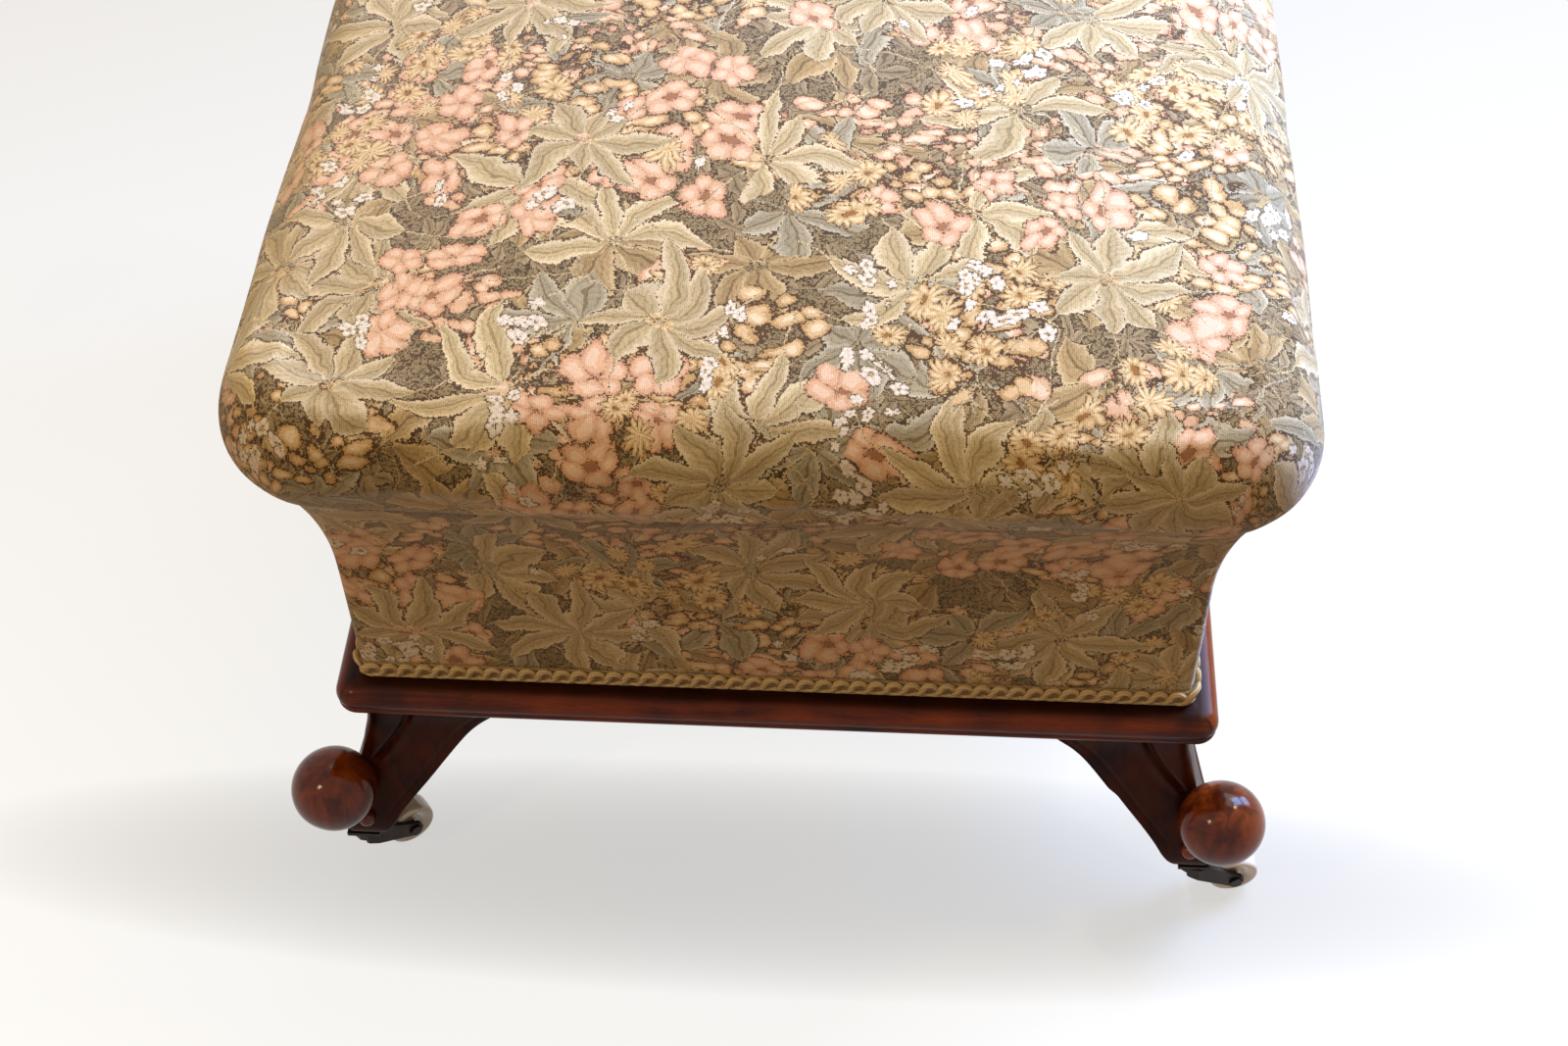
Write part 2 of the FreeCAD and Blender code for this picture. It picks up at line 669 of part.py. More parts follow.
# Castors: a plate and a rivet on the leg, a fork that swivels, an axle and a wheel
def castor(corner, across, along, turn):
    """One castor, drawn with its pivot on the Z axis and its wheel towards +X. The plate and the
    rivet stay square to the leg, and the rest is swivelled."""
    plate_low = sole - size.plate_thick
    crown_high = plate_low - size.crown_gap
    crown_low = crown_high - size.crown_thick
    head_high = crown_low - size.crown_gap
    slot = size.wheel_wide + size.cheek_gap * 2
    axle_high = size.wheel_round

    plate = new_body(f"plate_{corner}")
    plan = sketch(plate, f"plate_plan_{corner}", "XY_Plane", plate_low)
    outline(plan, square(size.plate_half))
    many_sided(plan, ZERO, ZERO, size.pivot_round + size.hole_gap, across_flats=True)
    for place in castor_screw_places():
        many_sided(plan, *place, size.screw_round + size.hole_gap, across_flats=True)
    extrude(plate, "Pad", f"plate_pad_{corner}", plan, size.plate_thick)

    pivot = new_body(f"pivot_{corner}")
    shaft = sketch(pivot, f"pivot_shaft_{corner}", "XY_Plane", head_high)
    circle(shaft, ZERO, ZERO, size.pivot_round)
    extrude(pivot, "Pad", f"pivot_pad_{corner}", shaft, sole - head_high)
    head = sketch(pivot, f"pivot_end_{corner}", "XY_Plane", head_high)
    many_sided(head, ZERO, ZERO, size.pivot_head_round, sides=12)
    extrude(pivot, "Pad", f"pivot_head_{corner}", head, size.pivot_head_thick, flip=True)

    fork = new_body(f"fork_{corner}")
    side = sketch(fork, f"fork_side_{corner}", "XZ_Plane")
    wide = slot / 2 + size.cheek_thick
    boss = on_arc((trail, axle_high), size.cheek_boss, -110, 50, 5)
    outline(side, [(-size.crown_back, crown_low), *boss, (size.crown_end, crown_high),
                   (-size.crown_back, crown_high)])
    extrude(fork, "Pad", f"fork_block_{corner}", side, wide * 2, symmetric=True)
    gap = sketch(fork, f"fork_slot_{corner}", "XZ_Plane")
    out = trail * 2
    outline(gap, [(-out, -1), (out, -1), (out, crown_high + 1), (size.crown_end, crown_high + 1),
                  (size.crown_end, crown_low), (-out, crown_low)])
    extrude(fork, "Pocket", f"fork_opening_{corner}", gap, slot, symmetric=True)
    shoulder = sketch(fork, f"fork_shoulder_{corner}", "XY_Plane", crown_high)
    heart, out = wide - size.crown_back, wide + 4
    outline(shoulder, [(heart, out), (-out, out), (-out, -out), (heart, -out),
                       *on_arc((heart, ZERO), wide, -90, -270, 6)])
    extrude(fork, "Pocket", f"fork_rounding_{corner}", shoulder, crown_high)
    bore = sketch(fork, f"pivot_hole_{corner}", "XY_Plane", crown_high)
    circle(bore, ZERO, ZERO, size.pivot_round + size.run_gap)
    extrude(fork, "Pocket", f"pivot_bore_{corner}", bore, crown_high)
    eye = sketch(fork, f"axle_hole_{corner}", "XZ_Plane")
    many_sided(eye, trail, axle_high, size.axle_round + size.hole_gap, across_flats=True)
    extrude(fork, "Pocket", f"axle_bore_{corner}", eye, trail * 2, symmetric=True)

    axle = new_body(f"axle_{corner}")
    rod = sketch(axle, f"axle_rod_{corner}", "XZ_Plane")
    circle(rod, trail, axle_high, size.axle_round)
    end = slot / 2 + size.cheek_thick + size.hole_gap
    extrude(axle, "Pad", f"axle_pad_{corner}", rod, end * 2, symmetric=True)
    for name, level, flip in (("near", end, False), ("far", -end, True)):
        head = sketch(axle, f"axle_{name}_{corner}", "XZ_Plane", level)
        many_sided(head, trail, axle_high, size.axle_head_round, sides=12)
        extrude(axle, "Pad", f"axle_head_{name}_{corner}", head, size.axle_head_thick, flip=flip)

    wheel = new_body(f"wheel_{corner}")
    disc = sketch(wheel, f"wheel_side_{corner}", "XZ_Plane")
    circle(disc, trail, axle_high, size.wheel_round)
    circle(disc, trail, axle_high, size.axle_round + size.run_gap)
    extrude(wheel, "Pad", f"wheel_pad_{corner}", disc, size.wheel_wide, symmetric=True)

    for label, made in (("plate", plate), ("pivot", pivot), ("fork", fork), ("axle", axle),
                        ("wheel", wheel)):
        bind(made, "Placement.Base.x", across * pivot_half)
        bind(made, "Placement.Base.y", along * pivot_half)
        if label not in ("plate", "pivot"):
            made.Placement.Rotation = FreeCAD.Rotation(FreeCAD.Vector(0, 0, 1), turn.value)
            bind(made, "Placement.Rotation.Angle", turn)
        node(made, f"castor_{label}_{corner}")


def square(half):
    return [(half, -half), (half, half), (-half, half), (-half, -half)]


def castor_screw_places():
    """Two screws across a plate, on the diagonal."""
    return [(size.screw_apart, size.screw_apart), (-size.screw_apart, -size.screw_apart)]


def screw(label, x, y, *runs):
    """A screw along Z: each run is a radius, the level where it starts and its length."""
    made = new_body(label)
    for number, (radius, low, long) in enumerate(runs, start=1):
        plan = sketch(made, f"{label}_plan_{number}", "XY_Plane", low)
        many_sided(plan, x, y, radius)
        extrude(made, "Pad", f"{label}_run_{number}", plan, long)
    return made


def fastenings():
    """The screws of the legs and of the castors, each kind as one group."""
    neck = plinth_high - size.leg_screw_head_thick
    group("leg_screws", [
        screw(f"leg_screw_{number}", x, y,
              (size.leg_screw_round, plinth_high - size.leg_screw_long,
               size.leg_screw_long - size.leg_screw_head_thick),
              (size.leg_screw_head, neck, size.leg_screw_head_thick))
        for number, (x, y) in enumerate(leg_screw_places(), start=1)])
    members = []
    for corner, (across, along, _) in CASTORS.items():
        for number, (x, y) in enumerate(castor_screw_places(), start=1):
            members.append(screw(
                f"castor_screw_{corner}_{number}", across * pivot_half + x,
                along * pivot_half + y,
                (size.screw_round, sole - size.plate_thick, size.screw_long)))
    group("castor_screws", members)


doc.recompute()
plinth()
carcass()
flank_cloth()
pad_low = seat_deck()
padding(pad_low)
cloth()
legs()
underside()
for corner, (across, along, turn) in CASTORS.items():
    castor(corner, across, along, turn)
fastenings()
doc.recompute()

for thing in doc.Objects:
    if "Invalid" in thing.State or "Error" in thing.State:
        raise RuntimeError(f"{thing.Name} did not build: {thing.State}")
for thing in NODES:
    if thing.Shape.isNull() or not thing.Shape.isValid() or not thing.Shape.Solids:
        raise RuntimeError(f"{thing.Label} has no sound shape")

os.makedirs("parts", exist_ok=True)
for thing in NODES:
    thing.Shape.exportStep(f"parts/{thing.Label}.step")
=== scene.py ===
"""Looks of an upholstered footstool: tapestry pad and sides, gimp braid, mahogany plinth,
scroll legs with ball toes, and brass castors."""

import json
import logging
import math
from dataclasses import dataclass, field
from enum import Enum
from typing import Any, Sequence

import bmesh
import bpy
import numpy as np
from mathutils import Matrix

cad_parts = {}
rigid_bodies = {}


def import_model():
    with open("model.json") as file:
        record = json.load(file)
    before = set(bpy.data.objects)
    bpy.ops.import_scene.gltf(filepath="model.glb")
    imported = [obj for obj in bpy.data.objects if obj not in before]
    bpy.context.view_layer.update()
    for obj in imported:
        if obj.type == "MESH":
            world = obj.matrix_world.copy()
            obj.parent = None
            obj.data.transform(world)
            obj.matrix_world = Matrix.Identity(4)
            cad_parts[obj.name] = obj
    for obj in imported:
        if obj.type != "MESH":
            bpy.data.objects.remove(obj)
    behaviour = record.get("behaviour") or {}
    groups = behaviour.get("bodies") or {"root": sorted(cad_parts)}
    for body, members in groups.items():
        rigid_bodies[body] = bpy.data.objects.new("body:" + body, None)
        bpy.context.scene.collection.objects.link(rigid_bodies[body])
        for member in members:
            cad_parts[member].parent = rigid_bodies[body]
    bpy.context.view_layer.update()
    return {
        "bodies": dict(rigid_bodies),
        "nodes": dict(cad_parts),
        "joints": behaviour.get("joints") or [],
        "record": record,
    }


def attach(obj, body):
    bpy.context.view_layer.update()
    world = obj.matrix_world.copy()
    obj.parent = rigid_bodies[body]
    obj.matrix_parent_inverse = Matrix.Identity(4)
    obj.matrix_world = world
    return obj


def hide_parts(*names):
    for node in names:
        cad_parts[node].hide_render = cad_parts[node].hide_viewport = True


LOG = logging.getLogger("footstool")
MM = 0.001
TAU = math.tau
STOOL = "stool"


def linear(colour: str) -> tuple[float, float, float, float]:
    """Turn an sRGB hex value into linear red, green, blue and alpha.

    Args:
        colour: Six hex digits, with or without a hash.

    Returns:
        The four linear channels.
    """
    parts = [int(colour.lstrip("#")[i:i + 2], 16) / 255 for i in (0, 2, 4)]
    curve = [c / 12.92 if c <= 0.04045 else ((c + 0.055) / 1.055) ** 2.4 for c in parts]
    return (*curve, 1.0)


class Board:
    """The node board of one material or world."""

    def __init__(self, tree: bpy.types.NodeTree) -> None:
        """Start with an empty board on that node tree."""
        self.tree = tree
        tree.nodes.clear()

    def add(self, kind: str, inputs: Any = (), out: int | str = 0, **settings: Any) -> "Wire":
        """Add a node with its settings and links.

        Args:
            kind: Blender's name of the shader node's type, less its first word.
            inputs: Values or wires, in order or by socket name or number.
            out: The output to carry on with.
            **settings: Properties of the node.

        Returns:
            The chosen output as a wire.
        """
        node = self.tree.nodes.new("ShaderNode" + kind)
        for name, value in settings.items():
            setattr(node, name, value)
        pairs = inputs.items() if isinstance(inputs, dict) else enumerate(inputs)
        for key, value in pairs:
            if isinstance(value, Wire):
                self.tree.links.new(value.socket, node.inputs[key])
            else:
                node.inputs[key].default_value = value
        return Wire(self, node.outputs[out] if len(node.outputs) else None)


@dataclass(frozen=True)
class Wire:
    """One output on a board, which can be reckoned with."""

    board: Board
    socket: Any

    def calc(self, operation: str, *others: Any) -> "Wire":
        """Put this and others through one operation of arithmetic."""
        return self.board.add("Math", (self, *others), operation=operation)

    def clamped(self) -> "Wire":
        """This, kept between nought and one."""
        return self.calc("MINIMUM", 1.0).calc("MAXIMUM", 0.0)

    def between(self, low: float, high: float) -> "Wire":
        """This, kept between two numbers by one node."""
        return self.board.add("Clamp", (self, low, high))

    def vector(self, operation: str, *others: Any, out: int | str = 0) -> "Wire":
        """Put this vector and others through one operation."""
        return self.board.add("VectorMath", (self, *others), out, operation=operation)

    def scaled(self, by: Any) -> "Wire":
        """This vector or colour times a number."""
        return self.board.add("VectorMath", {0: self, "Scale": by}, operation="SCALE")

    def other(self, out: int | str) -> "Wire":
        """Another output of the same node."""
        return Wire(self.board, self.socket.node.outputs[out])

    def __add__(self, other: Any) -> "Wire":
        """This plus other."""
        return self.calc("ADD", other)

    def __sub__(self, other: Any) -> "Wire":
        """This less other."""
        return self.calc("SUBTRACT", other)

    def __rsub__(self, other: float) -> "Wire":
        """A number less this."""
        return self.calc("MULTIPLY", -1.0).calc("ADD", other)

    def __mul__(self, other: Any) -> "Wire":
        """This times other."""
        return self.calc("MULTIPLY", other)

    def __truediv__(self, other: Any) -> "Wire":
        """This over other."""
        return self.calc("DIVIDE", other)

    def over(self, below: Any, above: Any) -> "Wire":
        """Lay one colour over another, with this as the share of the upper one."""
        return self.board.add("Mix", {0: self, 6: below, 7: above}, 2, data_type="RGBA")


def material(name: str) -> tuple[bpy.types.Material, Board]:
    """Make a material with an empty board.

    Args:
        name: The material's name.

    Returns:
        The material and its board.
    """
    made = bpy.data.materials.new(name)
    made.use_nodes = True
    return made, Board(made.node_tree)


# Finishes

class Form(Enum):
    """The figures woven into the tapestry."""

    ROSETTE = "rosette of leaves"
    BLOSSOM = "open flower"
    LOBE = "petal of a flower spray"


@dataclass(frozen=True)
class Figure:
    """One layer of a woven figure: lengths in millimetres of cloth. Its bands are sRGB colours
    from the middle of a leaf or flower out to its edge, each with the share where it ends.
    Figures with the same drift number gather in the same patches of the cloth."""

    form: Form
    pitch: float
    reach: float
    parts: int
    seed: float
    bands: tuple[tuple[float, str], ...]
    width: float = 0.0
    skip: float = 0.0
    drift: float = 0.0
    patch: float = 60.0
    cover: float = 0.0
    stretch: float = 1.0
    loose: float = 0.75


CREAM_LEAF = ((0.07, "a69064"), (0.32, "ccb687"), (0.38, "b6a073"), (0.60, "d3bf92"),
              (0.86, "e3d1a9"), (1.0, "5c4628"))
SAGE_LEAF = ((0.08, "857553"), (0.36, "ada182"), (0.44, "988c6c"), (0.66, "b5aa8c"),
             (0.86, "c9be9f"), (1.0, "4e3f28"))
KHAKI_LEAF = ((0.07, "886e46"), (0.30, "b69a68"), (0.36, "a28556"), (0.64, "bea371"),
              (0.86, "d2b988"), (1.0, "4d381d"))
DUSKY_LEAF = ((0.10, "776245"), (0.5, "a48f68"), (0.82, "b39e77"), (1.0, "48351f"))
CORAL_FLOWER = ((0.12, "a8744e"), (0.50, "f3d2b2"), (0.76, "e8bb94"), (0.90, "d2a07a"),
                (1.0, "6e4a32"))
GOLD_FLOWER = ((0.12, "a07038"), (0.46, "f0d9ab"), (0.74, "dfbf89"), (0.88, "c5a16a"),
               (1.0, "644827"))
CORAL_PETAL = ((0.40, "f5dab8"), (0.70, "e8c098"), (0.85, "cf9f76"), (1.0, "64442c"))
GOLD_PETAL = ((0.34, "f6e0b9"), (0.60, "e5c593"), (0.80, "c8a26b"), (1.0, "5b4124"))
WHITE_FLOWER = ((0.12, "cdaf74"), (0.50, "fbf0de"), (0.82, "e9dcc6"), (1.0, "6b5a3c"))


@dataclass(frozen=True)
class Spot:
    """The figure of one layer that is nearest to a point of the cloth, seen from there, with
    its chances and whether it is there at all."""

    x: Wire
    radius: Wire
    angle: Wire
    dice: Wire
    toss: Wire
    present: Wire


@dataclass(frozen=True)
class WovenTapestry:
    """Jacquard tapestry of cotton and wool, woven in ribs: matt, with leaves and flowers in
    short stepped stitches, thin brown outlines and a stippled ground. Its stitches and ribs
    are drawn coarser than the real cloth's 0.3 mm, so that they show."""

    name: str = "woven_cotton_wool_tapestry"
    stitch: float = 0.55
    rib: float = 0.9
    # how far apart the layers are taken from the endless field of chance
    apart: tuple[float, float, float] = (371.0, 513.0, 313.0)
    # two swells of the drawing, 26 mm and 6 mm long, so that no leaf is drawn with a compass
    swells: tuple[tuple[float, float], ...] = ((0.038, 16.0), (0.16, 3.4))
    # a large number, so that each rosette throws its own dice
    shuffle: float = 97.0
    vein_pitch: float = 4.4
    # the ground's two browns and its marks
    browns: tuple[str, str, str] = ("8b7955", "a69068", "4a3a20")
    figures: tuple[Figure, ...] = (
        Figure(Form.ROSETTE, 25, 17, 5, 1.3, DUSKY_LEAF, 4.4),
        Figure(Form.ROSETTE, 57, 40, 6, 2.9, KHAKI_LEAF, 9.2, 0.05),
        Figure(Form.LOBE, 7.6, 4.9, 1, 4.1, CORAL_PETAL, 0, 0.05, 1, 58, 0.56, 1.45),
        Figure(Form.ROSETTE, 60, 39, 6, 3.6, SAGE_LEAF, 8.2, 0.1),
        Figure(Form.LOBE, 8.2, 5.3, 1, 8.5, GOLD_PETAL, 0, 0.05, 3, 56, 0.585, 1.45),
        Figure(Form.ROSETTE, 84, 46, 8, 5.2, CREAM_LEAF, 8.0, 0.05),
        Figure(Form.BLOSSOM, 25, 13.4, 5, 6.4, CORAL_FLOWER, 0, 0.05, 2, 60, 0.59, loose=0.4),
        Figure(Form.BLOSSOM, 17.5, 9.0, 11, 9.9, GOLD_FLOWER, 0, 0.1, 4, 56, 0.63),
        Figure(Form.ROSETTE, 106, 45, 8, 7.7, CREAM_LEAF, 7.8, 0.3),
        Figure(Form.BLOSSOM, 8.6, 4.6, 5, 11.8, WHITE_FLOWER, 0, 0.12, 6, 34, 0.69),
    )

    def place(self, cloth: Wire, figure: Figure) -> Spot:
        """Find the figure of a layer that is nearest to a point of the cloth.

        Args:
            cloth: The point on the flat cloth, in millimetres.
            figure: The layer.

        Returns:
            Where the figure sits, seen from that point.
        """
        board = cloth.board
        far = (figure.seed * self.apart[0], figure.seed * self.apart[1], 0.0)
        shown = board.add("Mapping", {
            "Vector": cloth, "Location": far, "Rotation": (0, 0, figure.seed),
            "Scale": (1 / figure.stretch, 1, 1)})
        spots = board.add("TexVoronoi", {
            "Vector": shown, "Scale": 1 / figure.pitch, "Randomness": figure.loose},
            "Position", voronoi_dimensions="2D")
        off = shown.vector("SUBTRACT", spots)
        x = board.add("SeparateXYZ", (off,), "X")
        dice = board.add("SeparateColor", (spots.other("Color"),), "Red")
        present = dice.calc("GREATER_THAN", figure.skip)
        if figure.cover:
            home = spots.vector("ADD", (0, 0, figure.drift * self.apart[2]))
            cloud = board.add("TexNoise", {
                "Vector": home, "Scale": 1 / figure.patch, "Detail": 0.0})
            present = present * cloud.calc("GREATER_THAN", figure.cover)
        turn = dice.other("Green")
        angle = x.other("Y").calc("ARCTAN2", x) + turn * TAU
        return Spot(x, off.vector("LENGTH", out="Value"), angle, turn, dice.other("Blue"),
                    present)

    def rosette(self, spot: Spot, figure: Figure) -> tuple[Wire, Wire]:
        """A rosette or fan of curving wavy leaves with side veins, each of its own length.

        Args:
            spot: Where the rosette sits.
            figure: Its layer.

        Returns:
            How far out across its leaf this point is, and how light the leaf is.
        """
        board = spot.x.board
        bend = (spot.toss - 0.5) * (1.1 / figure.reach)
        sector = (spot.angle + spot.radius * bend) * (figure.parts / TAU)
        number = sector.calc("ROUND")
        key = board.add("CombineXYZ", (number, spot.dice * self.shuffle, figure.seed))
        leaf = board.add("TexWhiteNoise", (key,), "Value", noise_dimensions="3D")
        spread = board.add("SeparateColor", (leaf.other("Color"),), "Green")
        off = (sector - number + spread * 0.3 - 0.15) * (TAU / figure.parts)
        ahead, side = spot.radius * off.calc("COSINE"), spot.radius * off.calc("SINE")
        along = ahead / ((leaf * 0.5 + spot.toss * 0.2 + 0.44) * figure.reach)
        along = along.between(0.0, 1.0)
        ruffle = (ahead * (TAU / (0.2 * figure.reach + 2.0))).calc("SINE") * 0.07 + 1.0
        swell = (along.calc("POWER", 1.15) * math.pi).calc("SINE").calc("POWER", 0.85)
        stalk = ahead.calc("LESS_THAN", 0.11 * figure.reach) * -3.0
        bare = (number * (TAU / figure.parts) + spot.dice * 60.0).calc("COSINE").calc(
            "GREATER_THAN", 0.5) * spot.toss.calc("GREATER_THAN", 0.45) * -3.0
        half = (swell * ruffle + stalk + bare).calc("MAXIMUM", 0.05) * figure.width
        wide = side.calc("ABSOLUTE")
        across = wide / half
        vein = ((ahead - wide * 1.5) * (TAU / self.vein_pitch)).calc("SINE")
        vein = vein.calc("GREATER_THAN", 0.5) * across.calc("LESS_THAN", 0.72) * -0.13
        return across, side.calc("GREATER_THAN", 0.0) * 0.12 + spot.toss * 0.16 + vein + 0.87

    def blossom(self, spot: Spot, figure: Figure) -> tuple[Wire, Wire]:
        """An open flower of plump petals round a small heart.

        Args:
            spot: Where the flower sits.
            figure: Its layer.

        Returns:
            How far out across heart or petal this point is, and how light the petal is.
        """
        sector = spot.angle * (figure.parts / TAU)
        off = (sector - sector.calc("ROUND")) * (TAU / figure.parts)
        size = spot.radius / ((spot.toss * 0.2 + 0.84) * figure.reach)
        ahead = (size * off.calc("COSINE") - 0.57) / 0.44
        side = size * off.calc("SINE") / (0.64 * math.tan(math.pi / figure.parts))
        petal = (ahead * ahead + side * side).calc("SQRT") * 0.86 + 0.14
        heart = size * 0.6 + size.calc("GREATER_THAN", 0.19) * 9.0
        return petal.calc("MINIMUM", heart), 1.0 - side * 0.07

    def lobe(self, spot: Spot, figure: Figure) -> tuple[Wire, Wire]:
        """One plump petal of a spray, light in its middle and deep where it meets the next.

        Args:
            spot: Where the petal sits.
            figure: Its layer.

        Returns:
            How far out across the petal this point is, and how light it is.
        """
        out = spot.radius / ((spot.toss * 0.3 + 0.72) * figure.reach)
        return out, 1.0 - spot.x * (0.022 / figure.stretch)

    def ground(self, key: Wire) -> Wire:
        """The stippled ground: small curling marks in two browns.

        Args:
            key: The stitch's place.

        Returns:
            The ground's colour.
        """
        curl = key.board.add("TexNoise", {"Vector": key, "Scale": 0.42, "Detail": 1.0})
        mark = (curl - 0.5).calc("ABSOLUTE").calc("LESS_THAN", 0.045)
        tone = key.board.add("TexNoise", {"Vector": key, "Scale": 0.03, "Detail": 0.0})
        deep, pale, marks = (linear(brown) for brown in self.browns)
        return (mark * 0.9).over(tone.over(deep, pale), marks)

    def inks(self, across: Wire, figure: Figure) -> Wire:
        """Colour a figure by how far out across it a point is; past its edge it is clear.

        Args:
            across: How far out: nought at its middle, one at its edge.
            figure: Its layer.

        Returns:
            The colour, with the wire's alpha as its cover.
        """
        ramp = across.board.add("ValToRGB", (across * 0.5,), "Color")
        tones = ramp.socket.node.color_ramp
        tones.interpolation = "CONSTANT"
        tones.elements.remove(tones.elements[1])
        start = 0.0
        for index, (end, colour) in enumerate(figure.bands):
            tone = tones.elements[0] if not index else tones.elements.new(start / 2)
            tone.color = linear(colour)
            start = end
        tones.elements.new(0.5).color = (0.0, 0.0, 0.0, 0.0)
        return ramp

    def build(self) -> bpy.types.Material:
        """Weave the cloth.

        Returns:
            The material.
        """
        made, board = material(self.name)
        flat = board.add("Attribute", (), "Vector", attribute_name="cloth")
        real = flat.scaled(1 / MM)
        cloth = key = real.vector("SNAP", (self.stitch, self.stitch, 1.0))
        for scale, swing in self.swells:
            swell = board.add("TexNoise", {"Vector": key, "Scale": scale, "Detail": 0.0}, "Color")
            push = swell.vector("SUBTRACT", (0.5, 0.5, 0.5)).scaled(swing)
            cloth = cloth.vector("ADD", push)
        fray = board.add("TexNoise", {"Vector": key, "Scale": 0.8, "Detail": 0.0})
        fray = (fray - 0.5) * 0.5
        colour = self.ground(key)
        makers = {Form.ROSETTE: self.rosette, Form.BLOSSOM: self.blossom, Form.LOBE: self.lobe}
        for figure in self.figures:
            spot = self.place(cloth, figure)
            across, light = makers[figure.form](spot, figure)
            ink = self.inks(across + fray * across, figure)
            share = ink.other("Alpha") * spot.present
            colour = share.over(colour, ink.scaled(light))
        stitch = board.add("TexWhiteNoise", (key,), "Value", noise_dimensions="3D")
        axes = board.add("SeparateXYZ", (real,), "X")
        thread = (axes * (TAU / self.rib)).calc("SINE")
        weft = (axes.other("Y") * (TAU / self.rib)).calc("SINE")
        woven = colour.scaled(stitch * 0.18 + thread * 0.05 + 0.91)
        height = thread * 0.5 + weft * 0.2 + stitch * 0.5
        bump = board.add("Bump", {"Height": height, "Strength": 0.4, "Distance": 0.2 * MM})
        skin = board.add("BsdfPrincipled", {
            "Base Color": woven, "Roughness": 0.8, "Normal": bump, "Sheen Weight": 0.6,
            "Sheen Roughness": 0.45, "Specular IOR Level": 0.1})
        board.add("OutputMaterial", (skin,))
        return made


@dataclass(frozen=True)
class PolishedMahogany:
    """Mahogany, sawn, carved and French-polished: deep red-brown with a fine straight figure,
    open pores filled dark, and the small sharp lights of a thin shellac film."""

    name: str = "french_polished_mahogany"
    dark: str = "220902"
    middle: str = "581f08"
    light: str = "a04a16"
    shine: float = 0.12
    filler: str = "1c0703"
    # near-black of the painted shade in the hollows, grooves and where the cloth meets the wood,
    # and of dirt in the joints
    dirt: str = "0b0301"
    # streaks 90 mm long and 8 mm wide, and pores 8 mm long, to the metre
    streaks: tuple[float, float, float] = (11.0, 120.0, 120.0)
    pores: tuple[float, float, float] = (130.0, 2300.0, 2300.0)

    def build(self) -> bpy.types.Material:
        """Grain and polish the wood.

        Returns:
            The material.
        """
        made, board = material(self.name)
        grain = board.add("Attribute", (), "Vector", attribute_name="grain")
        long = board.add("Mapping", {"Vector": grain, "Scale": self.streaks})
        figure = board.add("TexNoise", {"Vector": long, "Scale": 1.0, "Detail": 5.0,
                                        "Roughness": 0.6, "Distortion": 0.6})
        fine = board.add("Mapping", {"Vector": grain, "Scale": self.pores})
        pore = board.add("TexNoise", {"Vector": fine, "Scale": 1.0, "Detail": 2.0})
        cloud = board.add("TexNoise", {"Vector": grain, "Scale": 34.0, "Detail": 2.0})
        lift = (figure - 0.5) * 1.6 + (cloud - 0.5) * 1.5 + 0.4
        colour = lift.clamped().over(linear(self.middle), linear(self.light))
        low = (0.5 - figure) * 1.7 + (0.5 - cloud) * 1.6
        colour = low.clamped().over(colour, linear(self.dark))
        colour = (pore.calc("GREATER_THAN", 0.62) * 0.4).over(colour, linear(self.filler))
        # painted shade and grime, from each piece's own map: it darkens the colour and dulls the
        # polish
        shade_and_grime = board.add("Attribute", (), "Fac", attribute_name="shade_and_grime")
        colour = (shade_and_grime * 0.94).over(colour, linear(self.dirt))
        bump = board.add("Bump", {"Height": pore * 0.4 + cloud * 2.0, "Strength": 0.16,
                                  "Distance": 0.35 * MM})
        skin = board.add("BsdfPrincipled", {
            "Base Color": colour, "Roughness": cloud * 0.1 + shade_and_grime * 0.3 + 0.09, "IOR": 1.5,
            "Specular IOR Level": self.shine, "Normal": bump})
        board.add("OutputMaterial", (skin,))
        return made


@dataclass(frozen=True)
class PlainFinish:
    """A finish of two mottled tones with a grain of its own size: bare wood, jute, brass, iron,
    glazed ceramic or cotton. The mottle is what the eye reads as age or as a coarse surface."""

    name: str
    pale: str
    deep: str
    rough: float
    mottle: float
    stretch: tuple[float, float, float] = (1.0, 1.0, 1.0)
    metallic: float = 0.0
    coat: float = 0.0
    bump: float = 0.1
    sheen: float = 0.0

    def build(self) -> bpy.types.Material:
        """Mix the finish; the mottle is the size of its patches in millimetres.

        Returns:
            The material.
        """
        made, board = material(self.name)
        place = board.add("TexCoord", (), "Object")
        laid = board.add("Mapping", {"Vector": place, "Scale": self.stretch})
        patch = board.add("TexNoise", {
            "Vector": laid, "Scale": 1.0 / (self.mottle * MM), "Detail": 4.0, "Roughness": 0.6})
        fine = board.add("TexNoise", {
            "Vector": laid, "Scale": 6.0 / (self.mottle * MM), "Detail": 2.0})
        share = ((patch - 0.5) * 2.4 + 0.5).clamped()
        colour = share.over(linear(self.deep), linear(self.pale))
        bump = board.add("Bump", {"Height": fine + patch, "Strength": self.bump,
                                  "Distance": 0.2 * MM})
        skin = board.add("BsdfPrincipled", {
            "Base Color": colour, "Roughness": patch * 0.16 + (self.rough - 0.08),
            "Metallic": self.metallic, "Normal": bump, "Coat Weight": self.coat,
            "Coat Roughness": 0.06, "Sheen Weight": self.sheen})
        board.add("OutputMaterial", (skin,))
        return made


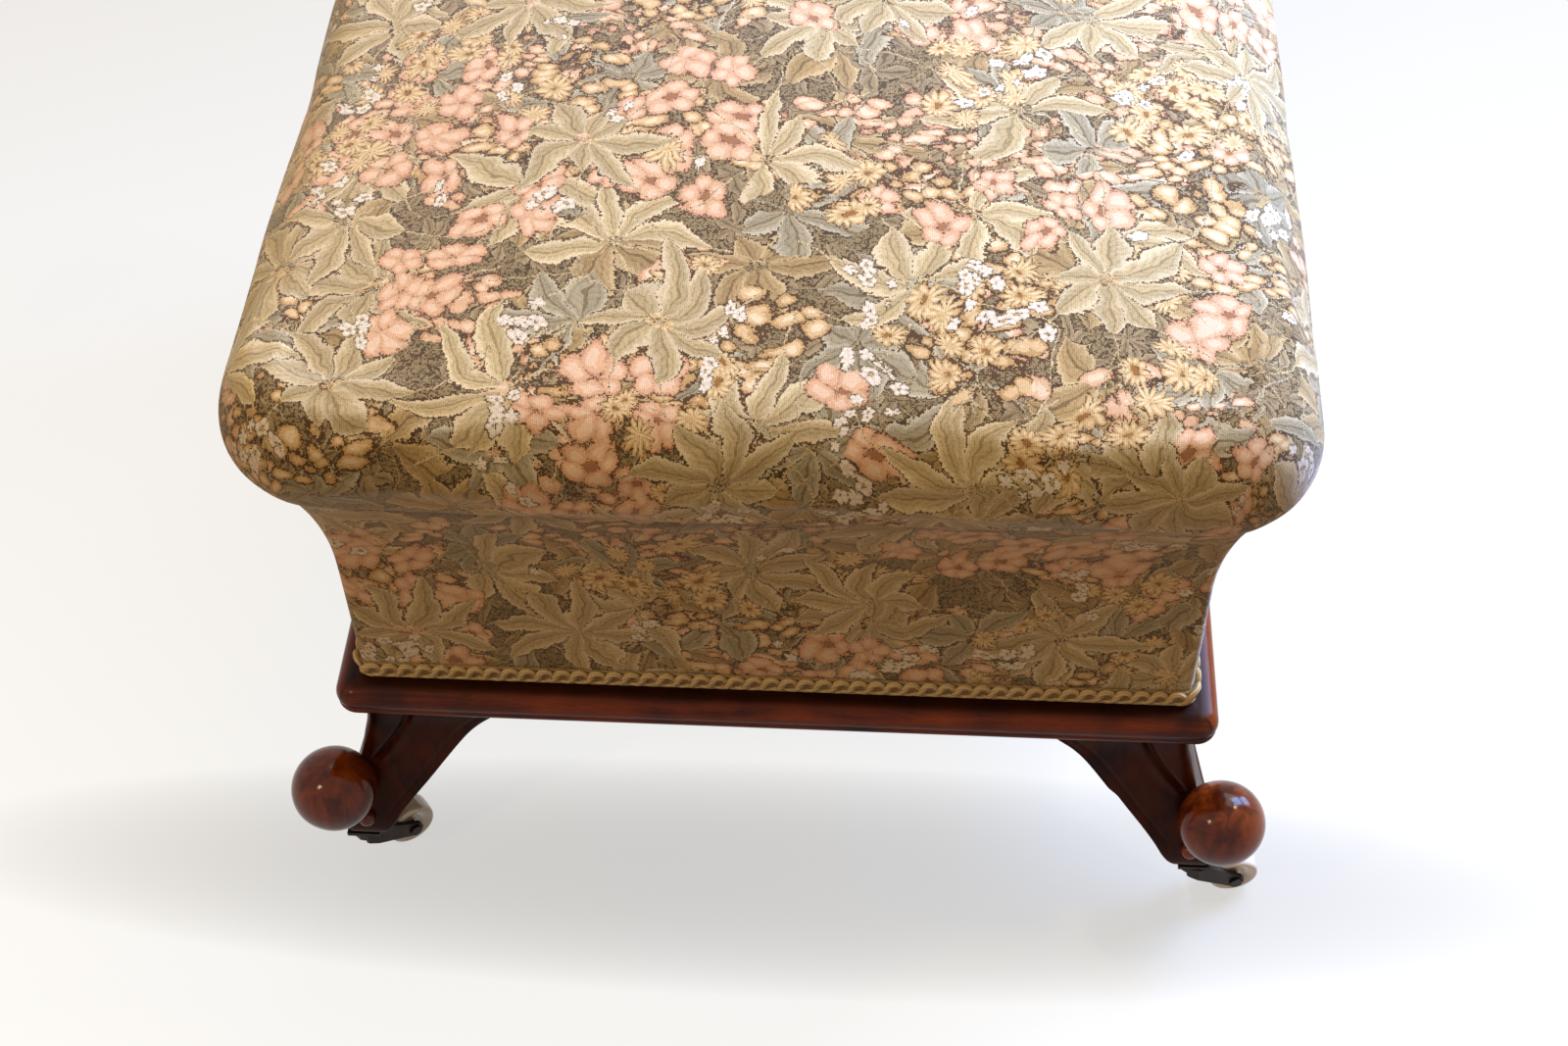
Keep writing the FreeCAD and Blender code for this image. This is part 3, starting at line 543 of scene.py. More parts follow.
@dataclass(frozen=True)
class TwistedThread:
    """Rayon and cotton braid thread, twisted: soft gold, each ply painted lighter on its crest as a
    highlight, and painted shade where it lies close to the cloth.
    """

    name: str = "twisted_gold_gimp_thread"
    pale: str = "f4dfae"
    deep: str = "d6b47c"
    # the colour of the painted shade where the strand lies close to the cloth
    hollow: str = "86683a"
    ply: float = 1.5
    # how much the plies lean: less of the way along the strand than round it
    lean: float = 260.0

    def build(self) -> bpy.types.Material:
        """Twist the thread; the plies are drawn at 1.5 mm so that they show.

        Returns:
            The material.
        """
        made, board = material(self.name)
        flat = board.add("Attribute", (), "Vector", attribute_name="cloth")
        axes = board.add("SeparateXYZ", (flat,), "X")
        around = axes.other("Y") * (1 / MM)
        turn = ((axes * self.lean + around) * (TAU / self.ply)).calc("SINE")
        dirt = board.add("TexNoise", {"Vector": flat, "Scale": 90.0, "Detail": 3.0})
        # each ply is painted lighter on its crest, a painted highlight, with a random mottle
        share = (turn * 0.3 + dirt * 0.8 + 0.1).clamped()
        colour = share.over(linear(self.deep), linear(self.pale))
        # painted shade where the strand lies close to the cloth
        deep = board.add("Attribute", (), "Fac", attribute_name="shade_and_grime")
        colour = deep.over(colour, linear(self.hollow))
        bump = board.add("Bump", {"Height": turn, "Strength": 0.6, "Distance": 0.3 * MM})
        skin = board.add("BsdfPrincipled", {
            "Base Color": colour, "Roughness": 0.7, "Normal": bump, "Sheen Weight": 0.1,
            "Specular IOR Level": 0.15})
        board.add("OutputMaterial", (skin,))
        return made


@dataclass
class Finishes:
    """Every finish of the stool, made once."""

    tapestry: bpy.types.Material = field(init=False)
    mahogany: bpy.types.Material = field(init=False)
    dull_shaded: bpy.types.Material = field(init=False)
    rubbed: bpy.types.Material = field(init=False)
    thread: bpy.types.Material = field(init=False)
    plain: dict[str, bpy.types.Material] = field(init=False)

    def __post_init__(self) -> None:
        """Build the materials."""
        self.tapestry = WovenTapestry().build()
        self.mahogany = PolishedMahogany().build()
        # the legs: duller than the plinth, and darker with painted shade
        self.dull_shaded = PolishedMahogany(
            "dulled_mahogany", "170602", "421505", "7c3610", 0.07).build()
        # the ball toes: rubbed by shoes to a deep shine
        self.rubbed = PolishedMahogany(
            "rubbed_mahogany", "2a0c03", "5e2209", "a85018", 0.22).build()
        self.thread = TwistedThread().build()
        plains = {
            # sawn beech: pale and dry, with long soft streaks
            "frame_wood": PlainFinish("sawn_beech", "c9a574", "9a7448", 0.75, 9, (1, 1, 0.12)),
            # jute strap, coarse and hairy
            "webbing": PlainFinish("woven_jute_webbing", "a48a62", "6f5a3c", 0.92, 2.2, bump=0.6),
            # plain sacking: open, brown, dusty
            "hessian": PlainFinish("woven_jute_hessian", "a78c60", "7b6440", 0.95, 1.6, bump=0.6),
            # dyed and glazed cotton, dusty black
            "dust_cloth": PlainFinish("glazed_black_cotton", "2a2826", "151413", 0.7, 7,
                                      sheen=0.1),
            # drawn iron, gone dull and brown
            "steel": PlainFinish("drawn_iron", "6a6460", "3c3430", 0.5, 2.5, metallic=1.0),
            # cast brass with a near-black tarnish
            "old_brass": PlainFinish("tarnished_cast_brass", "33241a", "0e0906", 0.4, 4.5,
                                     metallic=0.85, bump=0.25),
            # white clay body under a clear glaze, stained cream by age
            "white_ceramic": PlainFinish("glazed_white_ceramic", "fff8e8", "ecdfc2", 0.15, 11,
                                         coat=0.8, bump=0.03),
        }
        self.plain = {slot: finish.build() for slot, finish in plains.items()}


# Shapes

def grid_object(name: str, points: np.ndarray, finish: bpy.types.Material, wrap: bool = True,
                facts: dict[str, np.ndarray] | None = None) -> bpy.types.Object:
    """Make a smooth mesh from rows and columns of points.

    Args:
        name: Name of the piece.
        points: Array of rows by columns by 3, in millimetres.
        finish: Its material.
        wrap: Whether the last column joins the first.
        facts: Named attributes, each rows by columns, with 3 values or none.

    Returns:
        The object, riding on nothing yet.
    """
    rows, columns = points.shape[:2]
    mesh = bpy.data.meshes.new(name)
    mesh.vertices.add(rows * columns)
    mesh.vertices.foreach_set("co", (points * MM).astype(np.float32).ravel())
    across = columns if wrap else columns - 1
    row, column = np.meshgrid(np.arange(rows - 1), np.arange(across), indexing="ij")
    after = (column + 1) % columns
    faces = np.stack([row * columns + column, row * columns + after,
                      (row + 1) * columns + after, (row + 1) * columns + column], -1)
    count = faces.reshape(-1, 4).shape[0]
    mesh.loops.add(count * 4)
    mesh.loops.foreach_set("vertex_index", faces.astype(np.int32).ravel())
    mesh.polygons.add(count)
    mesh.polygons.foreach_set("loop_start", np.arange(0, count * 4, 4, dtype=np.int32))
    mesh.update(calc_edges=True)
    for key, values in (facts or {}).items():
        wide = values.ndim == 3
        store = mesh.attributes.new(key, "FLOAT_VECTOR" if wide else "FLOAT", "POINT")
        store.data.foreach_set("vector" if wide else "value",
                               values.astype(np.float32).ravel())
    mesh.polygons.foreach_set("use_smooth", np.ones(count, dtype=bool))
    mesh.materials.append(finish)
    made = bpy.data.objects.new(name, mesh)
    bpy.context.scene.collection.objects.link(made)
    return made


def spread(*parts: Any) -> np.ndarray:
    """Stack coordinates, each an array or one number for all, into points."""
    return np.stack(np.broadcast_arrays(*parts), -1)


def ramp(value: Any, start: float, length: float) -> Any:
    """Nought up to the start, then rising to one over that length."""
    return np.clip((value - start) / length, 0, 1)


def bell(value: Any, middle: Any, width: float) -> Any:
    """One at the middle, falling off to both sides over about that width."""
    return np.exp(-((value - middle) / width) ** 2)


def joined(name: str, pieces: Sequence[bpy.types.Object]) -> bpy.types.Object:
    """Join objects into one piece.

    Args:
        name: Name of the piece.
        pieces: The objects; the first keeps its place.

    Returns:
        The joined object.
    """
    with bpy.context.temp_override(active_object=pieces[0], object=pieces[0],
                                   selected_editable_objects=list(pieces),
                                   selected_objects=list(pieces)):
        bpy.ops.object.join()
    pieces[0].name = pieces[0].data.name = name
    return pieces[0]


def settle(piece: bpy.types.Object, slot: str, *nodes: str, body: str = STOOL) -> bpy.types.Object:
    """Let a piece ride on its body and stand for its nodes.

    Args:
        piece: The piece.
        slot: The record's material slot; not used.
        *nodes: CAD nodes that it stands for.
        body: The CAD body that it rides on.

    Returns:
        The same piece.
    """
    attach(piece, body)
    if nodes:
        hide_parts(*nodes)
    LOG.info("%s rides on %s", piece.name, body)
    return piece


def ring(half: float, corner: float | Sequence[float], flat: int, turn: int,
         ) -> tuple[np.ndarray, np.ndarray]:
    """Points round a square with rounded corners, from the foot of the +X side.

    Args:
        half: Half of the square's width, in millimetres.
        corner: Radius of its corners, or one for each, from the ++ corner on.
        flat: Steps along a side.
        turn: Steps round a corner.

    Returns:
        The points and their outward normals, both N by 2.
    """
    radii = [corner] * 4 if isinstance(corner, (int, float)) else list(corner)
    angles = np.linspace(0, math.pi / 2, turn + 1)[:-1]
    bend = np.stack([np.cos(angles), np.sin(angles)], -1)
    points, normals = [], []
    for index, radius in enumerate(radii):
        heart = half - radius
        climb = np.linspace(radii[index - 1] - half, heart, flat + 1)[:-1]
        side = np.stack([np.full(flat, half), climb], -1)
        angle = index * math.pi / 2
        spin = np.array([[math.cos(angle), math.sin(angle)], [-math.sin(angle), math.cos(angle)]])
        points.append(np.concatenate([side, heart + radius * bend]) @ spin)
        normals.append(np.concatenate([np.tile([1.0, 0.0], (flat, 1)), bend]) @ spin)
    return np.concatenate(points), np.concatenate(normals)


def waves(points: np.ndarray, size: float, seed: float) -> np.ndarray:
    """Smooth uneven swells between -1 and 1, from a few crossing waves.

    Args:
        points: Array of points, in millimetres.
        size: Length of a swell.
        seed: Any number; each gives other swells.

    Returns:
        One value for each point.
    """
    dice = np.random.default_rng(int(seed * 1000))
    total = np.zeros(points.shape[:-1])
    for _ in range(7):
        way = dice.normal(size=3)
        way /= np.linalg.norm(way)
        total += np.sin(points @ way * (TAU / (size * dice.uniform(0.7, 1.6)))
                        + dice.uniform(0, TAU))
    return total / 4.0


def smooth_line(knots: Sequence[tuple[float, float]], count: int) -> np.ndarray:
    """A smooth line through knots.

    Args:
        knots: The points that it goes through.
        count: How many points to return.

    Returns:
        Array of count by 2.
    """
    way = np.array(knots, dtype=float)
    ends = np.vstack([2 * way[0] - way[1], way, 2 * way[-1] - way[-2]])
    place = np.linspace(0, len(way) - 1 - 1e-9, count)
    index = place.astype(int)
    t = (place - index)[:, None]
    a, b, c, d = (ends[index + step] for step in range(4))
    return 0.5 * (2 * b + (c - a) * t + (2 * a - 5 * b + 4 * c - d) * t ** 2
                  + (3 * b - a - 3 * c + d) * t ** 3)


@dataclass
class SeatPad:
    """The padded top under its cloth: a domed crown, a fat edge roll, and the tuck under it."""

    finish: bpy.types.Material
    heart: float = 201.0
    round: float = 38.0
    level: float = 326.0
    corner: float = 8.0
    rise: float = 20.0
    over: float = 79.0
    tucked: float = -84.0
    centre: float = 0.0004
    flat: int = 84
    turn: int = 10
    crown_rows: int = 44
    roll_rows: int = 32
    sewn_rows: int = 9
    frames: int = 20
    # the swells of the stuffing: how long, a seed and how high
    swells: tuple[tuple[float, float, float], ...] = ((130, 2.0, 0.7), (44, 3.0, 0.28))
    # within this half width the top only swells upward
    calm: float = 150.0
    pleats: float = 18.0
    # how far the stuffing lies under the taut cloth, and the most that the cloth may give
    slack: float = 1.2
    give: float = 2.4

    def form(self, inset: float) -> tuple[np.ndarray, np.ndarray]:
        """Reckon the pad's surface and the flat place of each point on the cloth.

        Args:
            inset: How far inside the finished surface, in millimetres.

        Returns:
            Points and cloth coordinates, both rows by columns by 3.
        """
        radius = self.round - inset
        rows, cloth = [], []
        edge = self.heart + radius * math.cos(math.radians(self.over))
        foot = self.level + radius * math.sin(math.radians(self.over))
        rim, normal = ring(edge, self.corner + edge - self.heart, self.flat, self.turn)
        for share in np.linspace(self.centre, 1, self.crown_rows)[:-1]:
            plan = rim * share
            dome = (np.abs(plan / edge) ** 6).sum(-1) ** (1 / 3)
            rows.append(spread(*plan.T, foot + self.rise * (1 - dome)))
            cloth.append(spread(*plan.T, 0.0))
        for angle in np.linspace(self.over, self.tucked, self.roll_rows):
            lean = math.radians(angle)
            plan, _ = ring(self.heart + radius * math.cos(lean),
                           self.corner + radius * math.cos(lean), self.flat, self.turn)
            high = self.level + radius * math.sin(lean)
            rows.append(spread(*plan.T, high))
            run = self.round * math.radians(self.over - angle)
            cloth.append(spread(*(rim + normal * run).T, 0.0))
        for share in (0.93, 0.6, 0.3, 0.02):
            rows.append(spread(*(plan * share).T, high + 1.5))
            cloth.append(cloth[-1])
        return np.array(rows), np.array(cloth) * MM

    def build(self) -> bpy.types.Object:
        """Stuff the pad, let the cloth take up its slack, and dress it.

        Returns:
            The finished pad.
        """
        points, cloth = self.form(self.slack)
        x, y = np.abs(points[..., 0]), np.abs(points[..., 1])
        # short creases low on the roll, and small pleats under its corners
        low = ramp(self.level - 8 - points[..., 2], 0, 26)
        at_corner = bell(np.abs(x - y), 0, 34) * (x > self.calm)
        turn = np.arctan2(y - self.heart + 30, x - self.heart + 30)
        swell = sum(waves(points, long, seed) * high for long, seed, high in self.swells)
        swell += low * (waves(points, 21, 5.0) * 0.45 - 0.2)
        swell += at_corner * low * (np.cos(turn * self.pleats) * 0.9 - 0.5)
        out = points - np.array([0, 0, self.level - 60])
        out[..., :2] *= ramp(np.maximum(x, y), self.calm, 60)[..., None]
        out /= np.linalg.norm(out, axis=-1, keepdims=True)
        points = points + out * swell[..., None]
        pad = grid_object("seat_pad", points, self.finish, facts={"cloth": cloth})
        self.tighten(pad, points.shape[0], points.shape[1])
        finer = pad.modifiers.new("finer", "SUBSURF")
        finer.levels = finer.render_levels = 1
        settle(pad, "tapestry", "top_cover", "first_stuffing", "second_stuffing")
        return pad

    def tighten(self, pad: bpy.types.Object, rows: int, columns: int) -> None:
        """Blow the cloth taut over the stuffing, held where it is tucked and sewn. The way that
        each point goes is taken from the simulation, and how far it goes is held to the give.

        Args:
            pad: The pad.
            rows: Rows of its points.
            columns: Columns of its points.
        """
        scene = bpy.context.scene
        start = np.empty(len(pad.data.vertices) * 3, dtype=np.float32)
        pad.data.vertices.foreach_get("co", start)
        held = pad.vertex_groups.new(name="held")
        held.add(list(range((rows - self.sewn_rows) * columns, rows * columns)), 1.0, "REPLACE")
        cloth = pad.modifiers.new("cloth", "CLOTH")
        cloth.settings.quality = 4
        cloth.settings.mass = 0.3
        cloth.settings.tension_stiffness = cloth.settings.compression_stiffness = 25
        cloth.settings.shear_stiffness = 12
        cloth.settings.bending_stiffness = 1.5
        cloth.settings.use_pressure = True
        cloth.settings.uniform_pressure_force = 4
        cloth.settings.effector_weights.gravity = 0
        cloth.settings.vertex_group_mass = "held"
        cloth.collision_settings.use_collision = False
        for frame in range(1, self.frames + 1):
            scene.frame_set(frame)
        shape = pad.evaluated_get(bpy.context.evaluated_depsgraph_get()).data
        ended = np.empty(len(start), dtype=np.float32)
        shape.vertices.foreach_get("co", ended)
        pad.modifiers.remove(cloth)
        scene.frame_set(1)
        move = (ended - start).reshape(-1, 3)
        far = np.linalg.norm(move, axis=1, keepdims=True)
        move *= np.minimum(1.0, self.give * MM / np.maximum(far, 1e-9))
        pad.data.vertices.foreach_set("co", (start.reshape(-1, 3) + move).ravel())
        pad.data.update()
        LOG.info("seat_pad: blown out by up to %.1f mm, held to %.1f mm",
                 float(far.max()) / MM, self.give)


@dataclass
class FlankCloth:
    """The cloth of the sides, pulled down over the hollow and out under the roll."""

    finish: bpy.types.Material
    half: float = 203.0
    corner: float = 5.0
    low: float = 144.3
    upright: float = 229.0
    high: float = 291.5
    flare: float = 13.0
    rise: float = 57.0
    # the cloth's length round the stool and its depth, and where it lies in the woven pattern
    length: float = 1640.0
    depth: float = 149.0
    start: tuple[float, float] = (900.0, 35.0)

    def build(self) -> bpy.types.Object:
        """Pull the cloth over the sides.

        Returns:
            The cloth.
        """
        hollow = (self.rise ** 2 + self.flare ** 2) / (2 * self.flare)
        rows, cloth = [], []
        run = 0.0
        last = None
        for high in np.linspace(self.low, self.high, 46):
            climb = max(0.0, high - self.upright)
            half = self.half + hollow - math.sqrt(hollow ** 2 - climb ** 2)
            plan, normal = ring(half, self.corner + half - self.half, 100, 8)
            if last is not None:
                run += math.hypot(half - last[0], high - last[1])
            last = (half, high)
            rows.append(spread(*plan.T, high))
            steps = np.linalg.norm(np.diff(plan, axis=0, append=plan[:1]), axis=1)
            along = np.concatenate([[0], np.cumsum(steps)[:-1]]) / steps.sum()
            cloth.append(spread(along * self.length + self.start[0], run + self.start[1], 0.0))
        points = np.array(rows)
        normals = np.broadcast_to(normal, (*points.shape[:2], 2))
        pull = waves(points, 70, 8.0) * 0.3 + waves(points * [1, 1, 0.3], 26, 9.0) * 0.12
        points[..., :2] += normals * np.clip(pull, -0.2, 0.6)[..., None]
        made = grid_object("flank_cloth", points, self.finish,
                           facts={"cloth": np.array(cloth) * MM})
        settle(made, "tapestry", "flank_cover")
        self.depth * MM
        return made


@dataclass
class GimpBraid:
    """Gimp braid: one fat strand worked into arched S-shaped loops, each lapping the next, over
    a plain band, with a cord along its foot."""

    finish: bpy.types.Material
    half: float = 203.3
    corner: float = 5.0
    low: float = 144.5
    tall: float = 12.0
    repeat: float = 8.5
    # one loop seen from the front, from its foot over its shoulder to where it dives
    arch: tuple[tuple[float, float], ...] = (
        (-5.2, -4.4), (-3.2, -3.4), (-1.7, -0.6), (-0.7, 2.4), (1.0, 4.2), (3.3, 4.0),
        (4.7, 1.9), (5.0, -1.0))
    # steps over the front of a loop, and steps back behind the next
    seen: int = 13
    hidden: int = 3

    def build(self) -> bpy.types.Object:
        """Work the braid round the foot of the cloth.

        Returns:
            The braid.
        """
        plan, normal = ring(self.half, self.corner, 400, 8)
        closed, outward = np.vstack([plan, plan[:1]]), np.vstack([normal, normal[:1]])
        along = np.append(0, np.cumsum(np.linalg.norm(np.diff(closed, axis=0), axis=1)))
        total = along[-1]
        loops = round(total / self.repeat)
        middle = self.low + self.tall / 2

        def strand(name: str, run: np.ndarray, *course: float | np.ndarray) -> bpy.types.Object:
            """Lay one strand along the braid.

            Args:
                name: Its name.
                run: Its places round the stool, in millimetres.
                *course: At each place or all along: its height above the floor, how far its
                    heart stands off the cloth, and half its size up and down, and outward.

            Returns:
                The strand.
            """
            _, high, lift, tall, thick = np.broadcast_arrays(run, *course)
            around = np.linspace(0, TAU, 10, endpoint=False)
            ahead = np.stack([np.roll(run, -1) - np.roll(run, 1),
                              np.roll(high, -1) - np.roll(high, 1)], -1)
            ahead[[0, -1]] = ahead[1]
            ahead /= np.linalg.norm(ahead, axis=1, keepdims=True)
            reach = tall[:, None] * np.sin(around)
            way = run[:, None] - ahead[:, 1:] * reach
            level = high[:, None] + ahead[:, :1] * reach
            stand = lift[:, None] + thick[:, None] * np.cos(around)
            flat = np.stack([np.interp(way % total, along, closed[:, k])
                             + np.interp(way % total, along, outward[:, k]) * stand
                             for k in (0, 1)], -1)
            points = np.concatenate([flat, level[..., None]], -1)
            steps = np.append(0, np.cumsum(np.hypot(np.diff(run), np.diff(high))))
            cloth = spread(steps[:, None], around * tall[:, None], 0.0)
            # painted shade where the strand lies close to the cloth
            under = np.clip(0.85 - stand / 1.5, 0, 1)
            points, cloth, under = (np.concatenate([f, f[:1]]) for f in (points, cloth, under))
            return grid_object(name, points, self.finish,
                               facts={"cloth": cloth * MM, "shade_and_grime": under})

        share = np.linspace(-0.5, 0.5, self.seen)
        bulk = np.cos(share * math.pi) ** 0.5
        front = np.stack([*smooth_line(self.arch, self.seen).T, 1.0 + 1.5 * bulk,
                          0.6 + 1.2 * bulk, 0.4 + 0.95 * bulk])
        start = front[:, 0] + [self.repeat, 0, 0, 0, 0]
        shares = np.arange(1, self.hidden + 1) / (self.hidden + 1)
        back = front[:, -1:] + (start - front[:, -1])[:, None] * shares
        back[2] = 0.5
        loop = np.tile(np.concatenate([front, back], 1), loops)
        spots = np.repeat((np.arange(loops) + 0.5) * total / loops, self.seen + self.hidden)
        run, high = loop[0] + spots, loop[1] + middle
        where = np.linspace(0, total, 800, endpoint=False)
        band = strand("band", where, middle, 0.45, 5.0, 0.4)
        worked = strand("loops", run, high, *loop[2:])
        foot = strand("foot_cord", where, middle - 4.7 + 0.15 * np.sin(where * 2.2), 1.1, 1.15,
                      1.0)
        return settle(joined("gimp_braid_worked", [band, worked, foot]), "braid", "gimp_braid")


@dataclass
class Plinth:
    """Four mitred boards with a worked nose: a full round above a quirk and a small bead."""

    finish: bpy.types.Material
    half: float = 217.0
    corner: float = 11.0
    wide: float = 66.0
    low: float = 127.0
    high: float = 144.0
    flat: int = 96
    turn: int = 12

    def build(self) -> list[bpy.types.Object]:
        """Work the boards.

        Returns:
            The four boards, front, right, back and left.
        """
        low, high = self.low, self.high
        nose = smooth_line([
            (-11.5, high - 0.1), (-8.0, high - 0.3), (-4.2, high - 1.7), (-1.3, high - 4.4),
            (-0.1, high - 7.6), (-0.25, high - 10.2), (-1.0, high - 11.5), (-0.9, high - 12.3),
            (-0.5, high - 13.6), (-1.2, high - 15.6), (-3.4, low + 0.25), (-6.5, low)], 46)
        top = [(-self.wide, high), (-30.0, high), (-12.5, high)]
        under = [(-8.0, low), (-30.0, low), (-self.wide, low)]
        profile = np.vstack([top, nose, under, [(-self.wide, high)]])
        rows, shade_and_grime_rows = [], []
        for offset, level in profile:
            corner = max(0.05, self.corner + offset)
            plan, _ = ring(self.half + offset, corner, self.flat, self.turn)
            rows.append(spread(*plan.T, level))
            # painted shade in the quirk, on the top where the cloth meets the wood, and on the
            # lower face and underside
            quirk = bell(level, high - 11.6, 0.7) * (offset > -2)
            tuck = min(0.93, max(0.0, (-offset - 2.2) / 5.5)) if level > high - 4 else 0.0
            shade = min(0.3, max(0.0, (high - 5 - level) / 14))
            shade_and_grime_rows.append(np.full(len(plan), max(quirk * 0.6, tuck, shade)))
        points, shade_and_grime = np.array(rows), np.array(shade_and_grime_rows)
        step = self.flat + self.turn
        boards = []
        for index, side in enumerate(("right", "back", "left", "front")):
            first = index * step - self.turn // 2
            pick = np.arange(first, first + step + 1) % (4 * step)
            piece = points[:, pick].copy()
            away = [(piece[..., 1], piece[..., 0]), (piece[..., 0], piece[..., 1])][index % 2]
            grain = spread(away[0] + 300 * index, away[1] + 40 * index, piece[..., 2])
            worn = shade_and_grime[:, pick].copy()
            # dirty joints at the mitred ends of each board
            worn[:, :1] = worn[:, -1:] = 0.8
            board = grid_object(f"plinth_board_{side}", piece, self.finish, wrap=False,
                                facts={"grain": grain * MM, "shade_and_grime": worn})
            boards.append(settle(board, "show_wood", f"plinth_{side}"))
        return boards


@dataclass
class ScrollLeg:
    """A leg sawn to one scroll from two faces, carved with a tongue between two grooves on its
    outer corner, with a ball toe and a small bead to each side of its foot."""

    finishes: Finishes
    corner: str
    turn: int
    top: float = 127.0
    sole: float = 31.0
    ball: tuple[float, float] = (225.1, 73.4)
    ball_round: float = 21.7
    bead: tuple[float, float, float] = (212.5, 225.4, 47.0)
    bead_round: float = 4.6
    # how far apart the legs are cut from the endless field of grain
    apart: float = 37.0
    # the tongue: where it starts, its half width there and how much wider it gets, and how far
    # it stands out
    tongue_foot: float = 78.0
    tongue_narrow: float = 3.5
    tongue_widens: float = 18.0
    tongue_proud: float = 1.5
    # the groove beside it, the flute beside that, and the line near the back of the face
    groove_wide: float = 2.0
    groove_deep: float = 2.4
    flute_away: float = 9.0
    flute_wide: float = 4.5
    flute_deep: float = 0.8
    line_away: float = 6.5
    line_wide: float = 1.1
    line_deep: float = 0.8
    outer: tuple[tuple[float, float], ...] = (
        (204.5, 127), (204.7, 118), (205.6, 106), (208, 96), (211, 84.5), (215, 72), (219.5, 60),
        (224, 48), (226, 39), (225.6, 33.5), (223.5, 31))
    inner: tuple[tuple[float, float], ...] = (
        (130, 127), (134, 121), (141, 113.5), (149, 106.5), (157, 98), (167, 84.5), (177, 71),
        (187, 58.5), (194, 49), (199, 40.5), (203.5, 34.5), (209, 31))

    def turned(self, points: np.ndarray) -> np.ndarray:
        """Turn points of the back right leg round to this leg's corner."""
        angle = self.turn * math.pi / 2
        spin = np.array([[math.cos(angle), math.sin(angle), 0],
                         [-math.sin(angle), math.cos(angle), 0], [0, 0, 1]])
        return points @ spin

    def carving(self, away: np.ndarray, wide: float, high: float,
                ) -> tuple[np.ndarray, np.ndarray]:
        """Depth of the carving on the two outer faces.

        Args:
            away: Distance from the outer corner along the face, in millimetres.
            wide: Width of the face there.
            high: Height above the floor.

        Returns:
            How far the surface stands out, and how much painted shade lies there: in the grooves
            and along the line, and over all the outer faces.
        """
        up = ramp(high, self.tongue_foot, self.top - self.tongue_foot)
        groove = self.tongue_narrow + self.tongue_widens * np.sin(up * math.pi / 2) ** 0.8
        fade = ramp(high, self.tongue_foot - 2, 6)
        cut = bell(away, groove, self.groove_wide) * fade
        tongue = np.clip(1 - (away / groove) ** 2, 0, 1) * fade
        line = bell(wide - away, self.line_away, self.line_wide) * ramp(high, 44, 10)
        flute = bell(away - groove, self.flute_away, self.flute_wide) * fade * self.flute_deep
        # painted shade in the grooves and along the line
        groove_shade = np.clip(cut * 0.9 + line * 0.5, 0, 1)
        relief = (self.tongue_proud * tongue - self.groove_deep * cut - self.line_deep * line
                  - flute)
        # the outer faces are darkened all over: painted shade, with darker wood
        return relief, np.maximum(groove_shade, 0.6)

    def build(self) -> bpy.types.Object:
        """Saw, carve and polish the leg.

        Returns:
            The leg.
        """
        levels = np.concatenate([np.linspace(self.top, 34, 110),
                                 np.linspace(33.6, self.sole, 8)])
        outer, inner = (smooth_line(line, 400) for line in (self.outer, self.inner))
        rows, grains, shade_and_grime_rows = [], [], []
        for high in levels:
            out = np.interp(-high, -outer[:, 1], outer[:, 0])
            back = np.interp(-high, -inner[:, 1], inner[:, 0])
            half, middle = (out - back) / 2, (out + back) / 2
            sharp = min(1.4, half * 0.3)
            plan, normal = ring(half, (min(4.5, half * 0.45), sharp, sharp, sharp), 40, 8)
            plan = plan + middle
            away = np.where(np.abs(normal[:, 0]) > np.abs(normal[:, 1]),
                            out - plan[:, 1], out - plan[:, 0])
            face = np.maximum(normal[:, 0], normal[:, 1]) > 0.6
            stand, shade_and_grime = self.carving(away, 2 * half, high)
            x, y = (plan + normal * (stand * face)[:, None]).T
            rows.append(spread(x, y, high))
            grains.append(spread(high - 0.55 * (x + y), x, y) + self.apart * self.turn)
            # painted shade on the outer faces; the leg is also darker towards the foot, below 40 mm
            shade_and_grime_rows.append(np.maximum(shade_and_grime * face, ramp(40 - high, 0, 9) * 0.5))
        shaft = grid_object("shaft", self.turned(np.array(rows)), self.finishes.dull_shaded,
                            facts={"grain": np.array(grains) * MM, "shade_and_grime": np.array(shade_and_grime_rows)})
        near, far, high = self.bead
        balls = [self.globe(*self.ball, self.ball[0], self.ball_round, 64),
                 self.globe(near, high, far, self.bead_round, 24),
                 self.globe(far, high, near, self.bead_round, 24)]
        leg = joined(f"scroll_leg_{self.corner}", [shaft, *balls])
        return settle(leg, "show_wood", f"leg_{self.corner}")

    def globe(self, x: float, high: float, y: float, radius: float, parts: int) -> bpy.types.Object:
        """A carved ball, a little uneven as handwork is.

        Args:
            x: Its place across.
            high: Its height above the floor.
            y: Its place along.
            radius: Its radius.
            parts: Steps round it.

        Returns:
            The ball.
        """
        rise, around = np.meshgrid(np.linspace(-math.pi / 2, math.pi / 2, parts // 2 + 1),
                                   np.linspace(0, TAU, parts, endpoint=False), indexing="ij")
        shape = spread(np.cos(rise) * np.cos(around), np.cos(rise) * np.sin(around),
                       np.sin(rise))
        size = radius + waves(shape * radius, 24, x + self.turn) * radius * 0.009
        points = shape * size[..., None] + np.array([x, y, high])
        grain = points[..., [2, 0, 1]] + self.apart * self.turn
        # painted shade on the side of the ball that faces in under the stool, toward the leg
        shade_and_grime = np.clip(1 - np.linalg.norm(points - [x - radius * 0.62, y - radius * 0.62,
                                                     high], axis=-1) / (radius * 0.8), 0, 1)
        return grid_object("ball", self.turned(points), self.finishes.rubbed,
                           facts={"grain": grain * MM, "shade_and_grime": shade_and_grime})


